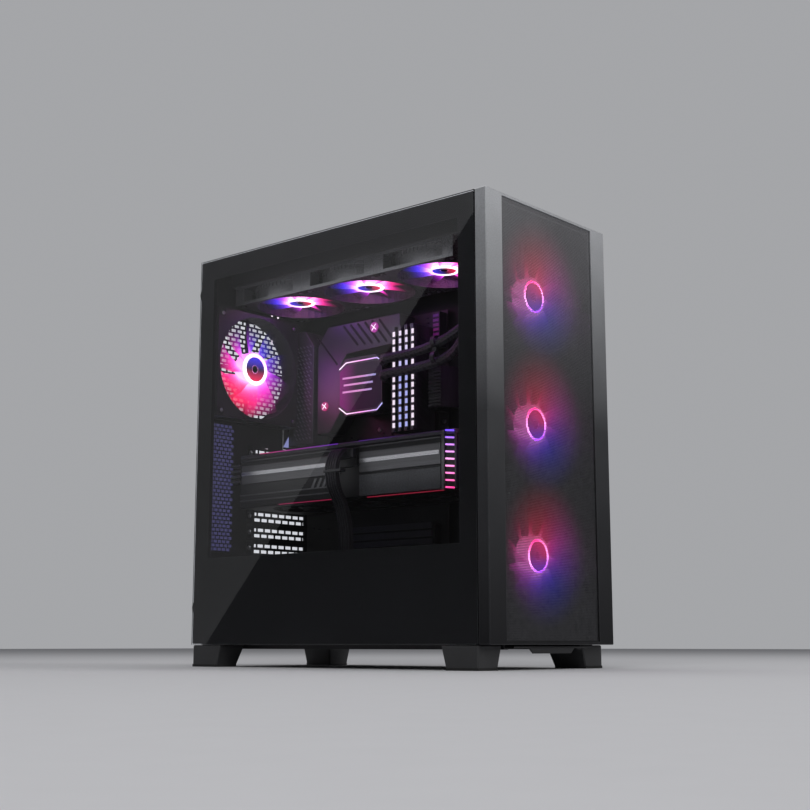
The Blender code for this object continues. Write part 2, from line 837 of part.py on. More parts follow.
def fan_frame_shape(size):
    """A fan frame about the origin, air going up +Z: flanges, duct, corner posts, struts."""
    half, bore = size / 2, size / 2 - FAN_RIM
    duct = bore + FAN_DUCT_WALL
    frame = boxes("fan_block", ((-half, half), (-half, half), (0, FAN_THICK)))
    reach = half + 5 * MM
    waist = boxes("fan_waist", ((-reach, reach), (-reach, reach), (FAN_FLANGE, FAN_THICK - FAN_FLANGE)))
    keep = rod("fan_keep", duct, "Z", -MM, FAN_THICK + MM, [(0, 0)], 40)
    inner = half - FAN_CORNER
    corners = boxes(
        "fan_corners",
        *[
            (sorted((sx * inner, sx * half)), sorted((sy * inner, sy * half)), (-MM, FAN_THICK + MM))
            for sx in (-1, 1)
            for sy in (-1, 1)
        ],
    )
    carve(waist, keep, corners)
    bore_cut = rod("fan_bore", bore, "Z", -MM, FAN_THICK + MM, [(0, 0)], 40)
    seat = HUB_SMALL_R - 2 * MM
    strut_low = FAN_THICK - 2.6 * MM
    seat_rod = rod("fan_seat", seat, "Z", strut_low, FAN_THICK, [(0, 0)], 24)
    arm = 2.0 * MM
    span = bore + FAN_DUCT_WALL / 2
    arms = boxes(
        "fan_arms",
        ((-span, span), (-arm, arm), (strut_low, FAN_THICK)),
    )
    cross = boxes("fan_cross", ((-arm, arm), (-span, span), (strut_low, FAN_THICK)))
    carve(frame, waist, bore_cut)
    weld(frame, arms, cross, seat_rod)
    return settle(frame, waist, keep, corners, bore_cut, arms, cross, seat_rod)


def add_blade(bm, start, root, tip, low, high, thick):
    """One pitched blade: a thin curved slab from root to tip, its ends at different angles."""
    rows = 3
    sections = []
    for step in range(rows):
        share = step / (rows - 1)
        radius = root + (tip - root) * share
        sweep = math.radians(34 + 10 * share)
        lead = start + math.radians(14) * share
        edge = []
        for angle, level in ((lead, low), (lead + sweep, high - thick)):
            for lift in (0.0, thick):
                point = (radius * math.cos(angle), radius * math.sin(angle), level + lift)
                edge.append(bm.verts.new(point))
        sections.append(edge)
    for a, b in zip(sections, sections[1:]):
        for i, j in ((0, 1), (1, 3), (3, 2), (2, 0)):
            bm.faces.new((a[i], a[j], b[j], b[i]))
    for edge in (sections[0], sections[-1]):
        bm.faces.new((edge[0], edge[1], edge[3], edge[2]))


def rotor_shape(hub, tip, low, high, recess, thick=1.6 * MM):
    """A rotor about the origin, turning about Z: a cup hub and its ring of blades."""
    profile = [
        (0, recess),
        (hub - 1.5 * MM, recess),
        (hub, recess + 1.5 * MM),
        (hub, high),
        (0, high),
    ]
    rotor = turned("rotor_hub", profile, "Z", (0, 0), 36)

    def build(bm):
        for i in range(BLADES):
            start = 2 * math.pi * i / BLADES
            add_blade(bm, start, hub - 2 * MM, tip, low, high - MM, thick)
        bmesh.ops.triangulate(bm, faces=bm.faces[:])

    blades = object_of("rotor_blades", build)
    weld(rotor, blades)
    return settle(rotor, blades)


def place_fan(name, frame, rotor, location, turn, frame_look, rotor_look):
    """One fan: its fixed frame and its rotor, which turns about the frame's axis."""
    for suffix, shape, look in (("frame", frame, frame_look), ("rotor", rotor, rotor_look)):
        item = link(f"{name}_{suffix}", shape.copy())
        item.location = location
        item.rotation_euler = (turn, 0.0, 0.0)
        dress(item, look(f"{name}_{suffix}_plastic"), smooth=True)


def make_fans():
    """Three 140 mm intakes, three 120 mm radiator fans and one 140 mm exhaust."""
    low, high = HUB_RECESS - 1.5 * MM, FAN_THICK - 3.2 * MM
    large_frame = fan_frame_shape(FAN_LARGE)
    small_frame = fan_frame_shape(FAN_SMALL - GAP)
    large_tip = FAN_LARGE / 2 - FAN_RIM - BLADE_TIP_GAP
    small_tip = (FAN_SMALL - GAP) / 2 - FAN_RIM - BLADE_TIP_GAP
    large_rotor = rotor_shape(HUB_LARGE_R, large_tip, low, high, HUB_RECESS)
    small_rotor = rotor_shape(HUB_SMALL_R, small_tip, low, high, HUB_RECESS)
    back = -math.pi / 2
    for name, level in zip(("lower", "middle", "upper"), FRONT_FAN_LEVELS):
        place = (0.0, FRONT_FAN_Y, level)
        place_fan(f"front_fan_{name}", large_frame, large_rotor, place, back, black_plastic, frosted_blade)
    for name, centre in zip(("front", "middle", "rear"), TOP_FAN_CENTRES):
        place = (RADIATOR_X, centre, TOP_FAN_Z)
        place_fan(f"top_fan_{name}", small_frame, small_rotor, place, 0.0, black_plastic, frosted_blade)
    place = (REAR_FAN_X, WALL_IN - GAP - FAN_THICK, REAR_FAN_Z)
    place_fan("rear_fan", large_frame, large_rotor, place, back, black_plastic, frosted_blade)


# ---- liquid cooler --------------------------------------------------------------------------


def make_radiator():
    """The radiator: a fin core between two end tanks, with two ports under the front tank."""
    x = limits_about(RADIATOR_X, RADIATOR_WIDE / 2)
    ends = (TOP_FANS_Y - TANK_FRONT, TOP_FANS_Y + 3 * FAN_SMALL + TANK_REAR)
    radiator = boxes("radiator", (x, ends, (RADIATOR_LOW, RADIATOR_TOP)))
    places = [(side, PORT_Y) for side in port_sides()]
    ports = rod("radiator_ports", TUBE_R + MM, "Z", RADIATOR_LOW - 5 * MM, RADIATOR_LOW + 5 * MM, places, 16)
    soften(radiator, 1.5 * MM)
    weld(radiator, ports)
    return dress(radiator, black_metal("radiator_paint"), smooth=True)


def port_sides():
    return (RADIATOR_X - 9 * MM, RADIATOR_X + 12 * MM)


def cut_corner(middle_a, middle_b, half_a, half_b, corner):
    """A rectangle's outline with its four corners cut off."""
    return [
        (middle_a + sa * half_a - ca * sa * corner, middle_b + sb * half_b - cb * sb * corner)
        for sa, sb, order in ((1, 1, 0), (-1, 1, 1), (-1, -1, 0), (1, -1, 1))
        for ca, cb in (((0, 1), (1, 0)) if order == 0 else ((1, 0), (0, 1)))
    ]


def make_pump():
    """The pump block on the processor: a cut-cornered cap over a square body with two outlets."""
    foot = BOARD_FACE - SOCKET_TALL - GAP
    face = foot - PUMP_TALL
    half = PUMP_SIZE / 2
    cap_thick = 12 * MM
    pump = prism(
        "pump_block", cut_corner(SOCKET_Y, SOCKET_Z, half, half, 11 * MM), "X", face, face + cap_thick
    )
    inner = half - 5 * MM
    body = prism("pump_body", cut_corner(SOCKET_Y, SOCKET_Z, inner, inner, 6 * MM), "X", face + MM, foot)
    deep = face + 20 * MM
    stubs = rod(
        "pump_stubs", TUBE_R, "Y", elbow_depth(), SOCKET_Y, [(deep, z) for z in pump_port_levels()], 16
    )
    elbows = rod(
        "pump_elbows",
        TUBE_R + MM,
        "X",
        elbow_end(),
        deep + TUBE_R + MM,
        [(elbow_depth(), z) for z in pump_port_levels()],
        20,
    )
    weld(pump, body, stubs, elbows)
    return dress(pump, black_plastic("pump_plastic"))


def elbow_end():
    """Where the pump's elbows end, just behind the pump's face."""
    return BOARD_FACE - SOCKET_TALL - GAP - PUMP_TALL + 2 * MM


def elbow_depth():
    """The elbows stand between the pump's front side and the last memory module."""
    return SOCKET_Y - PUMP_SIZE / 2 - 6.5 * MM


def pump_port_levels():
    return (SOCKET_Z + 24 * MM, SOCKET_Z + 5 * MM)


def smooth_points(points, count):
    """Evenly stepped points on a smooth curve through the given points."""
    ends = [points[0] * 2 - points[1], *points, points[-1] * 2 - points[-2]]
    path = []
    spans = len(points) - 1
    for step in range(count):
        where = spans * step / (count - 1)
        i = min(int(where), spans - 1)
        t = where - i
        p0, p1, p2, p3 = ends[i : i + 4]
        path.append(
            0.5
            * (
                2 * p1
                + (p2 - p0) * t
                + (2 * p0 - 5 * p1 + 4 * p2 - p3) * t**2
                + (3 * p1 - p0 - 3 * p2 + p3) * t**3
            )
        )
    return path


def tube(name, points, radius, count):
    """A round tube along a smooth route, closed at both ends."""
    route = bpy.data.curves.new(name, "CURVE")
    route.dimensions = "3D"
    route.bevel_depth = radius
    route.bevel_resolution = 2
    route.use_fill_caps = True
    path = smooth_points([Vector(p) for p in points], count)
    spline = route.splines.new("POLY")
    spline.points.add(len(path) - 1)
    for point, place in zip(spline.points, path):
        point.co = (*place, 1.0)
    item = link(name, route)
    return item


def make_tubes():
    """Two coolant tubes from the pump, forward over the memory and up to the radiator's ports."""
    x, y = elbow_end() - GAP, elbow_depth()
    over = BOARD_FACE - MEMORY_SLOT_TALL - MEMORY_TALL - 3.5 * MM - TUBE_R
    past = MEMORY_Y - 24 * MM
    port_z = RADIATOR_LOW - 5 * MM - GAP
    for name, level, side, rise in (
        ("coolant_tube_upper", pump_port_levels()[0], port_sides()[1], 14 * MM),
        ("coolant_tube_lower", pump_port_levels()[1], port_sides()[0], 10 * MM),
    ):
        points = [
            (x, y, level),
            (x - 5 * MM, y - 0.4 * MM, level),
            (x - 11 * MM, y - 5 * MM, level + MM),
            (over - 2 * MM, y - 16 * MM, level + 2 * MM),
            (over - MM, past, level + rise / 3),
            (over - 6 * MM, past - 50 * MM, level + rise),
            (side + 3 * MM, PORT_Y + 34 * MM, level + rise + 22 * MM),
            (side, PORT_Y + 4 * MM, port_z - 36 * MM),
            (side, PORT_Y, port_z - 12 * MM),
            (side, PORT_Y, port_z),
        ]
        item = tube(name, points, TUBE_R, 30)
        dress_tube(item, black_rubber(name + "_sleeve"))


def dress_tube(item, look):
    item.data.materials.append(look)


def make_cooler():
    make_radiator()
    make_pump()
    make_tubes()


# ---- main board -----------------------------------------------------------------------------


def make_board():
    """The main board with its socket, memory slots, card slot, ports and power connector."""
    board = boxes(
        "motherboard",
        ((BOARD_FACE, BOARD_BACK), (BOARD_FRONT, BOARD_REAR), (BOARD_LOW, BOARD_TOP)),
    )
    sunk = BOARD_FACE + BOARD_THICK / 2
    mem_half = MEMORY_LONG / 2 + 4 * MM
    parts = [
        ((BOARD_FACE - SOCKET_TALL, sunk), limits_about(SOCKET_Y, 28 * MM), limits_about(SOCKET_Z, 30 * MM)),
        ((PORTS_FACE, sunk), (BOARD_REAR - 3 * MM, WALL_OUT - GAP), port_block_levels()),
        (
            (BOARD_FACE - 11 * MM, sunk),
            (BOARD_REAR - 150 * MM, BOARD_REAR - 60 * MM),
            limits_about(CARD_LINE, 3.7 * MM),
        ),
        (
            (BOARD_FACE - 9 * MM, sunk),
            (BOARD_FRONT + 14 * MM, BOARD_REAR - 70 * MM),
            limits_about(CARD_LOW - 34 * MM, 12 * MM),
        ),
        (
            (BOARD_FACE - 13 * MM, sunk),
            (BOARD_FRONT + MM, BOARD_FRONT + 11 * MM),
            limits_about(power_plug_level(), 26 * MM),
        ),
    ]
    for i in range(MEMORY_COUNT):
        y = MEMORY_Y + i * MEMORY_PITCH
        parts.append(
            ((BOARD_FACE - MEMORY_SLOT_TALL, sunk), limits_about(y, 3.2 * MM), limits_about(MEMORY_Z, mem_half))
        )
    weld(board, boxes("board_parts", *parts))
    return dress(board, finish_of("board_black", (0.015, 0.015, 0.018), 0.5))


def power_plug_level():
    return BOARD_LOW + 200 * MM


def port_block_levels():
    low = slot_level(SLOT_COUNT - 1) + COVER_HALF + 8 * MM
    return (low, low + 146 * MM)


def make_heatsinks():
    """The cover over the rear ports and the L-shaped regulator heatsink beside the processor."""
    face = HEATSINK_FACE
    foot = BOARD_FACE - GAP
    rear = BOARD_REAR - 3 * MM - GAP
    low = port_block_levels()[0]
    shroud_front = rear - 36.8 * MM
    outline = [
        (rear, low),
        (rear, BOARD_TOP - MM),
        (shroud_front + 16 * MM, BOARD_TOP - MM),
        (shroud_front, BOARD_TOP - 24 * MM),
        (shroud_front, low),
    ]
    cover = prism("io_shroud", outline, "X", face, foot)
    soften(cover, 0.6 * MM)
    dress(cover, black_metal("io_shroud_paint"))

    back = shroud_front - 7 * MM
    pump_half = PUMP_SIZE / 2
    side_front = SOCKET_Y + pump_half + 14 * MM
    bar_low = SOCKET_Z + pump_half + 12 * MM
    bar_front = SOCKET_Y - 50 * MM
    high = BOARD_TOP - 2 * MM
    outline = [
        (back, SOCKET_Z - 52 * MM),
        (back, BOARD_TOP - 26 * MM),
        (back - 18 * MM, high),
        (bar_front, high),
        (bar_front, bar_low + 3 * MM),
        (side_front - 10 * MM, bar_low),
        (side_front, bar_low - 12 * MM),
        (side_front, SOCKET_Z - 26 * MM),
        (side_front + 20 * MM, SOCKET_Z - 52 * MM),
    ]
    sink = prism("vrm_heatsink", outline, "X", face + MM, foot)
    soften(sink, 0.8 * MM)
    return dress(sink, black_metal("vrm_heatsink_paint"))


def make_memory():
    """Four memory modules standing in their slots, each with a narrow light bar on its edge."""
    top = BOARD_FACE - MEMORY_SLOT_TALL - GAP
    edge = top - MEMORY_TALL
    half, bar = MEMORY_THICK / 2, MEMORY_THICK / 2 - 1.4 * MM
    for i in range(MEMORY_COUNT):
        y = MEMORY_Y + i * MEMORY_PITCH
        outline = [
            (top, y - half),
            (top, y + half),
            (edge + 5 * MM, y + half),
            (edge, y + bar),
            (edge, y - bar),
            (edge + 5 * MM, y - half),
        ]
        limits = limits_about(MEMORY_Z, MEMORY_LONG / 2)
        module = prism(f"memory_module_{i + 1}", outline, "Z", *limits)
        dress(module, black_metal(f"memory_{i + 1}_paint"))


def make_boards():
    make_board()
    make_heatsinks()
    make_memory()


# ---- graphics card --------------------------------------------------------------------------


def make_card():
    """The graphics card: shroud block with three fan wells, backplate, bracket and rotors."""
    shroud_top = CARD_HIGH - BACKPLATE_THICK - GAP
    tongue = BOARD_FACE - 11 * MM - GAP
    card = boxes(
        "gpu_shroud", ((CARD_LEFT, CARD_RIGHT), (CARD_FRONT, CARD_REAR), (CARD_LOW, shroud_top))
    )
    soften(card, 2.0 * MM)
    extras = boxes(
        "card_extras",
        (
            (COVER_LEFT + 3 * MM, CARD_RIGHT - 4 * MM),
            (CARD_REAR - 5 * MM, COVER_FRONT - GAP),
            (CARD_LOW + 8 * MM, shroud_top - 6 * MM),
        ),
        (
            (CARD_RIGHT - 5 * MM, tongue),
            (BOARD_REAR - 148 * MM, BOARD_REAR - 62 * MM),
            limits_about(CARD_LINE, 0.8 * MM),
        ),
        (
            (CARD_LEFT - 4 * MM, CARD_LEFT + 6 * MM),
            limits_about(CABLE_Y, 15 * MM),
            (shroud_top - 24 * MM, shroud_top - 4 * MM),
        ),
    )
    well_r, post_r = CARD_FAN_R + 1.5 * MM, 8 * MM
    well_top, post_low = CARD_LOW + CARD_FAN_WELL, CARD_LOW + CARD_FAN_WELL - 6 * MM
    profile = [
        (0, CARD_LOW - 5 * MM),
        (well_r, CARD_LOW - 5 * MM),
        (well_r, well_top),
        (post_r, well_top),
        (post_r, post_low),
        (0, post_low),
    ]
    weld(card, extras)
    for i, centre in enumerate(CARD_FAN_CENTRES):
        carve(card, turned(f"card_well_{i}", profile, "Z", (CARD_FAN_X, centre), 36))
    dress(card, finish_of("card_shroud_metal", (0.06, 0.06, 0.065), 0.35, 0.7))

    plate = boxes(
        "gpu_backplate",
        ((CARD_LEFT, CARD_RIGHT), (CARD_FRONT, CARD_REAR), (CARD_HIGH - BACKPLATE_THICK, CARD_HIGH)),
    )
    soften(plate, 1.2 * MM)
    dress(plate, black_metal("card_backplate_paint"))
    make_card_rotors(post_low)


def make_card_rotors(post_low):
    high = post_low - GAP - CARD_LOW
    rotor = rotor_shape(CARD_HUB_R, CARD_FAN_R, 2 * MM, high, 1.5 * MM)
    for name, centre in zip(("front", "middle", "rear"), CARD_FAN_CENTRES):
        item = link(f"gpu_fan_{name}_rotor", rotor.copy())
        item.location = (CARD_FAN_X, centre, CARD_LOW)
        dress(item, black_plastic(f"gpu_fan_{name}_plastic"), smooth=True)


def bracket(name, low_slot, high_slot, look):
    """A slot bracket inside the rear wall, with its screw tab folded forward at the glass side."""
    outline = [
        (COVER_LEFT, COVER_BACK),
        (COVER_RIGHT, COVER_BACK),
        (COVER_RIGHT, COVER_FRONT),
        (COVER_LEFT + SHEET, COVER_FRONT),
        (COVER_LEFT + SHEET, COVER_FRONT - COVER_TAB),
        (COVER_LEFT, COVER_FRONT - COVER_TAB),
    ]
    low = slot_level(low_slot) - COVER_HALF
    high = slot_level(high_slot) + COVER_HALF
    return dress(prism(name, outline, "Z", low, high), look)


def make_brackets():
    """The card's three-slot bracket and a cover over each free slot."""
    first, last = CARD_SLOTS
    bracket("gpu_bracket", first, last, bright_steel("card_bracket_steel"))
    free = [i for i in range(SLOT_COUNT) if not first <= i <= last]
    for number, index in enumerate(free, 1):
        name = f"slot_cover_{number}"
        bracket(name, index, index, charcoal_steel(name + "_steel"))


# ---- power and cables -----------------------------------------------------------------------


def make_psu():
    """The power supply, with its mains inlet and fan recess."""
    middle = psu_middle()
    x = limits_about(middle, PSU_WIDE / 2)
    low = max(BASE + PSU_LEVEL, INNER_LOW)
    rear = WALL_IN - GAP
    supply = boxes("psu_body", (x, (rear - PSU_DEEP, rear), (low, low + PSU_HIGH)))
    inlet = boxes("inlet_cut", psu_inlet(rear, low))
    fan = rod(
        "supply_fan_cut", 60 * MM, "Z", low - MM, low + 12 * MM, [(middle, rear - PSU_DEEP / 2)], 40
    )
    soften(supply, 0.8 * MM)
    carve(supply, inlet, fan)
    return dress(supply, black_metal("supply_paint"))


def psu_inlet(rear, low):
    """The recess of the mains inlet, 28 mm by 20 mm and 16 mm deep."""
    centre_x, centre_z = psu_middle() + 44 * MM, low + PSU_HIGH / 2
    return (
        limits_about(centre_x, 14 * MM),
        (rear - 16 * MM, rear + MM),
        limits_about(centre_z, 10 * MM),
    )


def ribbon(points, thick, count):
    """The outline of a band of even thickness that follows a smooth line through 2-D points."""
    path = smooth_points([Vector(point) for point in points], count)
    left, right = [], []
    for i, place in enumerate(path):
        along = (path[min(i + 1, count - 1)] - path[max(i - 1, 0)]).normalized()
        across = Vector((-along.y, along.x)) * thick / 2
        left.append(tuple(place + across))
        right.append(tuple(place - across))
    return [*left, *reversed(right)]


def make_card_cable():
    """The card's power leads: side by side, out of the card, round its edge and down."""
    start = CARD_LEFT - 4 * MM - 2 * GAP
    plug = CARD_HIGH - BACKPLATE_THICK - GAP - 9 * MM
    points = [
        (start, plug),
        (start - 4 * MM, plug),
        (start - 11 * MM, plug + 4 * MM),
        (start - 19 * MM, plug - 2 * MM),
        (start - 25 * MM, plug - 18 * MM),
        (start - 21 * MM, plug - 40 * MM),
        (start - 9 * MM, plug - 60 * MM),
        (start - 2 * MM, plug - 82 * MM),
        (start, plug - 104 * MM),
        (start, SHROUD_TOP - 4 * MM),
    ]
    outline = ribbon(points, 7 * MM, 33)
    cable = prism("gpu_power_cable", outline, "Y", *limits_about(CABLE_Y, 13 * MM))
    return dress(cable, black_rubber("card_cable_sleeve"))


def make_board_cable():
    """The board's main power leads: out of a cable window and over into the board's plug."""
    depth = cable_window_depth()
    plug_y = BOARD_FRONT + 6 * MM
    crest = BOARD_FACE - 13 * MM - GAP
    window_y = (depth[0] + depth[1]) / 2
    points = [
        (crest, plug_y),
        (crest - 5 * MM, plug_y),
        (crest - 13 * MM, plug_y - 3 * MM),
        (crest - 19 * MM, plug_y - 12 * MM),
        (crest - 10 * MM, plug_y - 24 * MM),
        (crest + 8 * MM, window_y),
        (TRAY_LEFT + SHEET + 8 * MM, window_y),
    ]
    outline = ribbon(points, 9 * MM, 21)
    cable = prism("board_power_cable", outline, "Z", *limits_about(power_plug_level(), 25 * MM))
    return dress(cable, black_rubber("board_cable_sleeve"))


def make_power():
    make_psu()
    make_card_cable()
    make_board_cable()


# ---- front controls -------------------------------------------------------------------------


def make_controls():
    """The control board under the roof, with its two sockets and two sprung buttons."""
    y = limits_about(FRONT_PANEL_Y, 9 * MM)
    board = boxes("front_io_board", ((-48 * MM, 48 * MM), y, (INNER_HIGH - 14.6 * MM, INNER_HIGH)))
    sockets = [
        (
            limits_about(side, USB_WIDE / 2),
            limits_about(FRONT_PANEL_Y, USB_DEEP / 2),
            (INNER_HIGH - USB_LONG, INNER_HIGH + MM),
        )
        for side in USB_SIDES
    ]
    carve(board, boxes("socket_cut", *sockets))
    floor = BUTTON_LOW - BUTTON_TRAVEL - SLIDE_GAP
    buttons = (("power_button", POWER_SIDE, POWER_R), ("reset_button", RESET_SIDE, RESET_R))
    for name, side, radius in buttons:
        well = rod(name + "_well", radius + SLIDE_GAP, "Z", floor, TOP, [(side, FRONT_PANEL_Y)], 24)
        carve(board, well)
        dome = 0.5 * MM
        profile = [
            (0, BUTTON_LOW),
            (radius, BUTTON_LOW),
            (radius, BUTTON_TOP - dome),
            (radius - dome, BUTTON_TOP),
            (0, BUTTON_TOP),
        ]
        cap = turned(name, profile, "Z", (side, FRONT_PANEL_Y), 24)
        put_origin(cap, (side, FRONT_PANEL_Y, BUTTON_TOP))
        dress(cap, bright_steel(name + "_metal"), smooth=True)
    return dress(board, black_plastic("io_board_plastic"))


def main():
    clear_scene()
    make_chassis()
    make_glass_side()
    make_right_panel()
    make_front_cover()
    make_filters()
    make_feet()
    make_thumbscrews()
    make_fans()
    make_cooler()
    make_boards()
    make_card()
    make_brackets()
    make_power()
    make_controls()


main()
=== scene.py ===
"""Looks of a desktop computer tower: coated steel, glass, fine mesh, lit fans, cooler and boards."""

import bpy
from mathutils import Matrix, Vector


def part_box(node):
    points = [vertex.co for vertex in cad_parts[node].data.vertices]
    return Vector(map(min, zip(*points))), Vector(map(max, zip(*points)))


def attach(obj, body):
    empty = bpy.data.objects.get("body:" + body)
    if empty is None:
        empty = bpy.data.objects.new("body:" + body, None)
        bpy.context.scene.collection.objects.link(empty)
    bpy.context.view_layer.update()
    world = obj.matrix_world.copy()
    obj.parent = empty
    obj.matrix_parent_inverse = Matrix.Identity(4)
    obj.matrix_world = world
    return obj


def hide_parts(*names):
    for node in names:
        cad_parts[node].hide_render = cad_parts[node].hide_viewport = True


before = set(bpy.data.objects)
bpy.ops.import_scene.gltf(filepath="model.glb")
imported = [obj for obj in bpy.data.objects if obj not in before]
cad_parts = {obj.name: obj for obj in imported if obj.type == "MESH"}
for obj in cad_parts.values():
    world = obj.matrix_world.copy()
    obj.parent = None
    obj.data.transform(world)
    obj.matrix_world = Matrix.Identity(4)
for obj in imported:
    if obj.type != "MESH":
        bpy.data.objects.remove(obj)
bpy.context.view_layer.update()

import logging
import math
from dataclasses import dataclass
from enum import Enum

import bmesh
import bpy
from mathutils import Matrix, Vector

MM = 0.001
LOG = logging.getLogger("tower")

Colour = tuple[float, float, float]
Point = tuple[float, float, float]
LEFTWARD: Point = (-1.0, 0.0, 0.0)


class Light(Enum):
    """The lamp colours inside the case, as linear red, green and blue."""

    RED = (1.0, 0.01, 0.09)
    ROSE = (1.0, 0.02, 0.25)
    MAGENTA = (0.85, 0.02, 0.62)
    PINK = (1.0, 0.36, 0.82)
    VIOLET = (0.28, 0.03, 0.85)
    BLUE = (0.03, 0.02, 0.9)
    ICE = (0.42, 0.45, 0.9)
    WHITE = (1.0, 0.86, 0.97)
    DUSK = (0.16, 0.15, 0.42)
    NIGHT = (0.012, 0.0, 0.03)


class Axis(Enum):
    """A direction that a shape is pushed or turned along."""

    X = 0
    Y = 1
    Z = 2


# ---- node trees -----------------------------------------------------------------------------


class Graph:
    """A node tree being built, whose nodes take their inputs by name."""

    def __init__(self, tree: bpy.types.NodeTree) -> None:
        """Starts from a tree."""
        self.tree = tree

    def add(self, kind: str, feeds: dict | None = None, **settings: object) -> bpy.types.Node:
        """Adds a node.

        Args:
            kind: the node's type name.
            feeds: an input's name or number to a socket that feeds it, or to a plain value.
            settings: the node's own properties.

        Returns:
            The new node.
        """
        node = self.tree.nodes.new(kind)
        for key, value in settings.items():
            setattr(node, key, value)
        for key, value in (feeds or {}).items():
            if isinstance(value, bpy.types.NodeSocket):
                self.tree.links.new(value, node.inputs[key])
            else:
                node.inputs[key].default_value = value
        return node

    def sum(self, operation: str, *values: object) -> bpy.types.NodeSocket:
        """The result of a Math node on up to three values or sockets."""
        feeds = dict(enumerate(values))
        return self.add("ShaderNodeMath", feeds, operation=operation).outputs[0]

    def vector(self, operation: str, feeds: dict, output: str = "Vector") -> bpy.types.NodeSocket:
        """The result of a Vector Math node."""
        return self.add("ShaderNodeVectorMath", feeds, operation=operation).outputs[output]

    def blend(self, share: object, first: object, second: object) -> bpy.types.NodeSocket:
        """The first colour where share is 0 and the second where it is 1."""
        feeds = {0: share, 6: first, 7: second}
        return self.add("ShaderNodeMix", feeds, data_type="RGBA").outputs[2]

    def three(self, share: object, first: object, middle: object, last: object) -> bpy.types.NodeSocket:
        """A run through three colours as share goes from 0 to 1."""
        low = self.sum("MINIMUM", self.sum("MULTIPLY", share, 2.0), 1.0)
        high = self.sum("MAXIMUM", self.sum("MULTIPLY_ADD", share, 2.0, -1.0), 0.0)
        return self.blend(high, self.blend(low, first, middle), last)

    def spread(self, value: object, low: float, high: float) -> bpy.types.NodeSocket:
        """A value of 0 to 1 carried to low to high."""
        return self.add("ShaderNodeMapRange", {"Value": value, "To Min": low, "To Max": high}).outputs[0]

    def group(self, group: bpy.types.NodeTree, feeds: dict) -> bpy.types.Node:
        """Places a node group with its own values."""
        kind = "ShaderNodeGroup" if group.type == "SHADER" else "GeometryNodeGroup"
        return self.add(kind, feeds, node_tree=group)


class Effect(Graph):
    """A shader node group with named inputs and outputs."""

    def __init__(self, name: str, inputs: dict[str, tuple[str, object]], outputs: dict[str, str]) -> None:
        """Makes the group.

        Args:
            name: the group's name.
            inputs: each input's name to its kind (Float, Vector or Color) and default.
            outputs: each output's name to its kind.
        """
        super().__init__(bpy.data.node_groups.new(name, "ShaderNodeTree"))
        for label, (kind, value) in inputs.items():
            socket = self.tree.interface.new_socket(name=label, in_out="INPUT", socket_type=f"NodeSocket{kind}")
            socket.default_value = value
        for label, kind in outputs.items():
            self.tree.interface.new_socket(name=label, in_out="OUTPUT", socket_type=f"NodeSocket{kind}")
        self.entry = self.tree.nodes.new("NodeGroupInput").outputs
        self.exit = self.tree.nodes.new("NodeGroupOutput").inputs

    def give(self, **results: bpy.types.NodeSocket) -> bpy.types.NodeTree:
        """Links the results to the outputs of those names and returns the group."""
        for label, socket in results.items():
            self.tree.links.new(socket, self.exit[label])
        return self.tree


def grain_effect() -> bpy.types.NodeTree:
    """The fine bead of a powder coat or moulded plastic: an uneven shade and a height."""
    effect = Effect(
        "coat_grain", {"Vector": ("Vector", (0, 0, 0)), "Scale": ("Float", 900.0), "Drift": ("Float", 18.0)},
        {"Shade": "Float", "Height": "Float"},
    )
    vector, scale, drift = (effect.entry[i] for i in range(3))
    bead = effect.add("ShaderNodeTexNoise", {"Vector": vector, "Scale": scale, "Detail": 2.0})
    cloud = effect.add("ShaderNodeTexNoise", {"Vector": vector, "Scale": drift, "Detail": 3.0})
    shade = effect.sum(
        "ADD", effect.sum("MULTIPLY", bead.outputs[0], 0.6), effect.sum("MULTIPLY", cloud.outputs[0], 0.4),
    )
    return effect.give(Shade=shade, Height=bead.outputs[0])


def brushed_effect() -> bpy.types.NodeTree:
    """The long fine lines of brushed metal along one direction."""
    effect = Effect(
        "brushed_lines", {"Vector": ("Vector", (0, 0, 0)), "Stretch": ("Vector", (8.0, 900.0, 900.0))},
        {"Shade": "Float", "Height": "Float"},
    )
    drawn = effect.vector("MULTIPLY", {0: effect.entry["Vector"], 1: effect.entry["Stretch"]})
    lines = effect.add("ShaderNodeTexNoise", {"Vector": drawn, "Scale": 1.0, "Detail": 4.0, "Roughness": 0.7})
    return effect.give(Shade=lines.outputs[0], Height=lines.outputs[0])


def wear_effect() -> bpy.types.NodeTree:
    """A mask that is 1 along sharp edges, where a coat rubs thin, broken up by noise."""
    effect = Effect(
        "edge_wear", {"Vector": ("Vector", (0, 0, 0)), "Reach": ("Float", 0.8 * MM), "Broken": ("Float", 160.0)},
        {"Mask": "Float"},
    )
    rounded = effect.add("ShaderNodeBevel", {"Radius": effect.entry["Reach"]}, samples=4)
    plain = effect.add("ShaderNodeNewGeometry")
    match = effect.vector("DOT_PRODUCT", {0: rounded.outputs[0], 1: plain.outputs["Normal"]}, "Value")
    edge = effect.sum("MULTIPLY", effect.sum("SUBTRACT", 1.0, match), 5.0)
    noise = effect.add("ShaderNodeTexNoise", {"Vector": effect.entry["Vector"], "Scale": effect.entry["Broken"]})
    broken = effect.sum("MULTIPLY", edge, noise.outputs[0])
    clamped = effect.sum("MINIMUM", broken, 1.0)
    return effect.give(Mask=clamped)


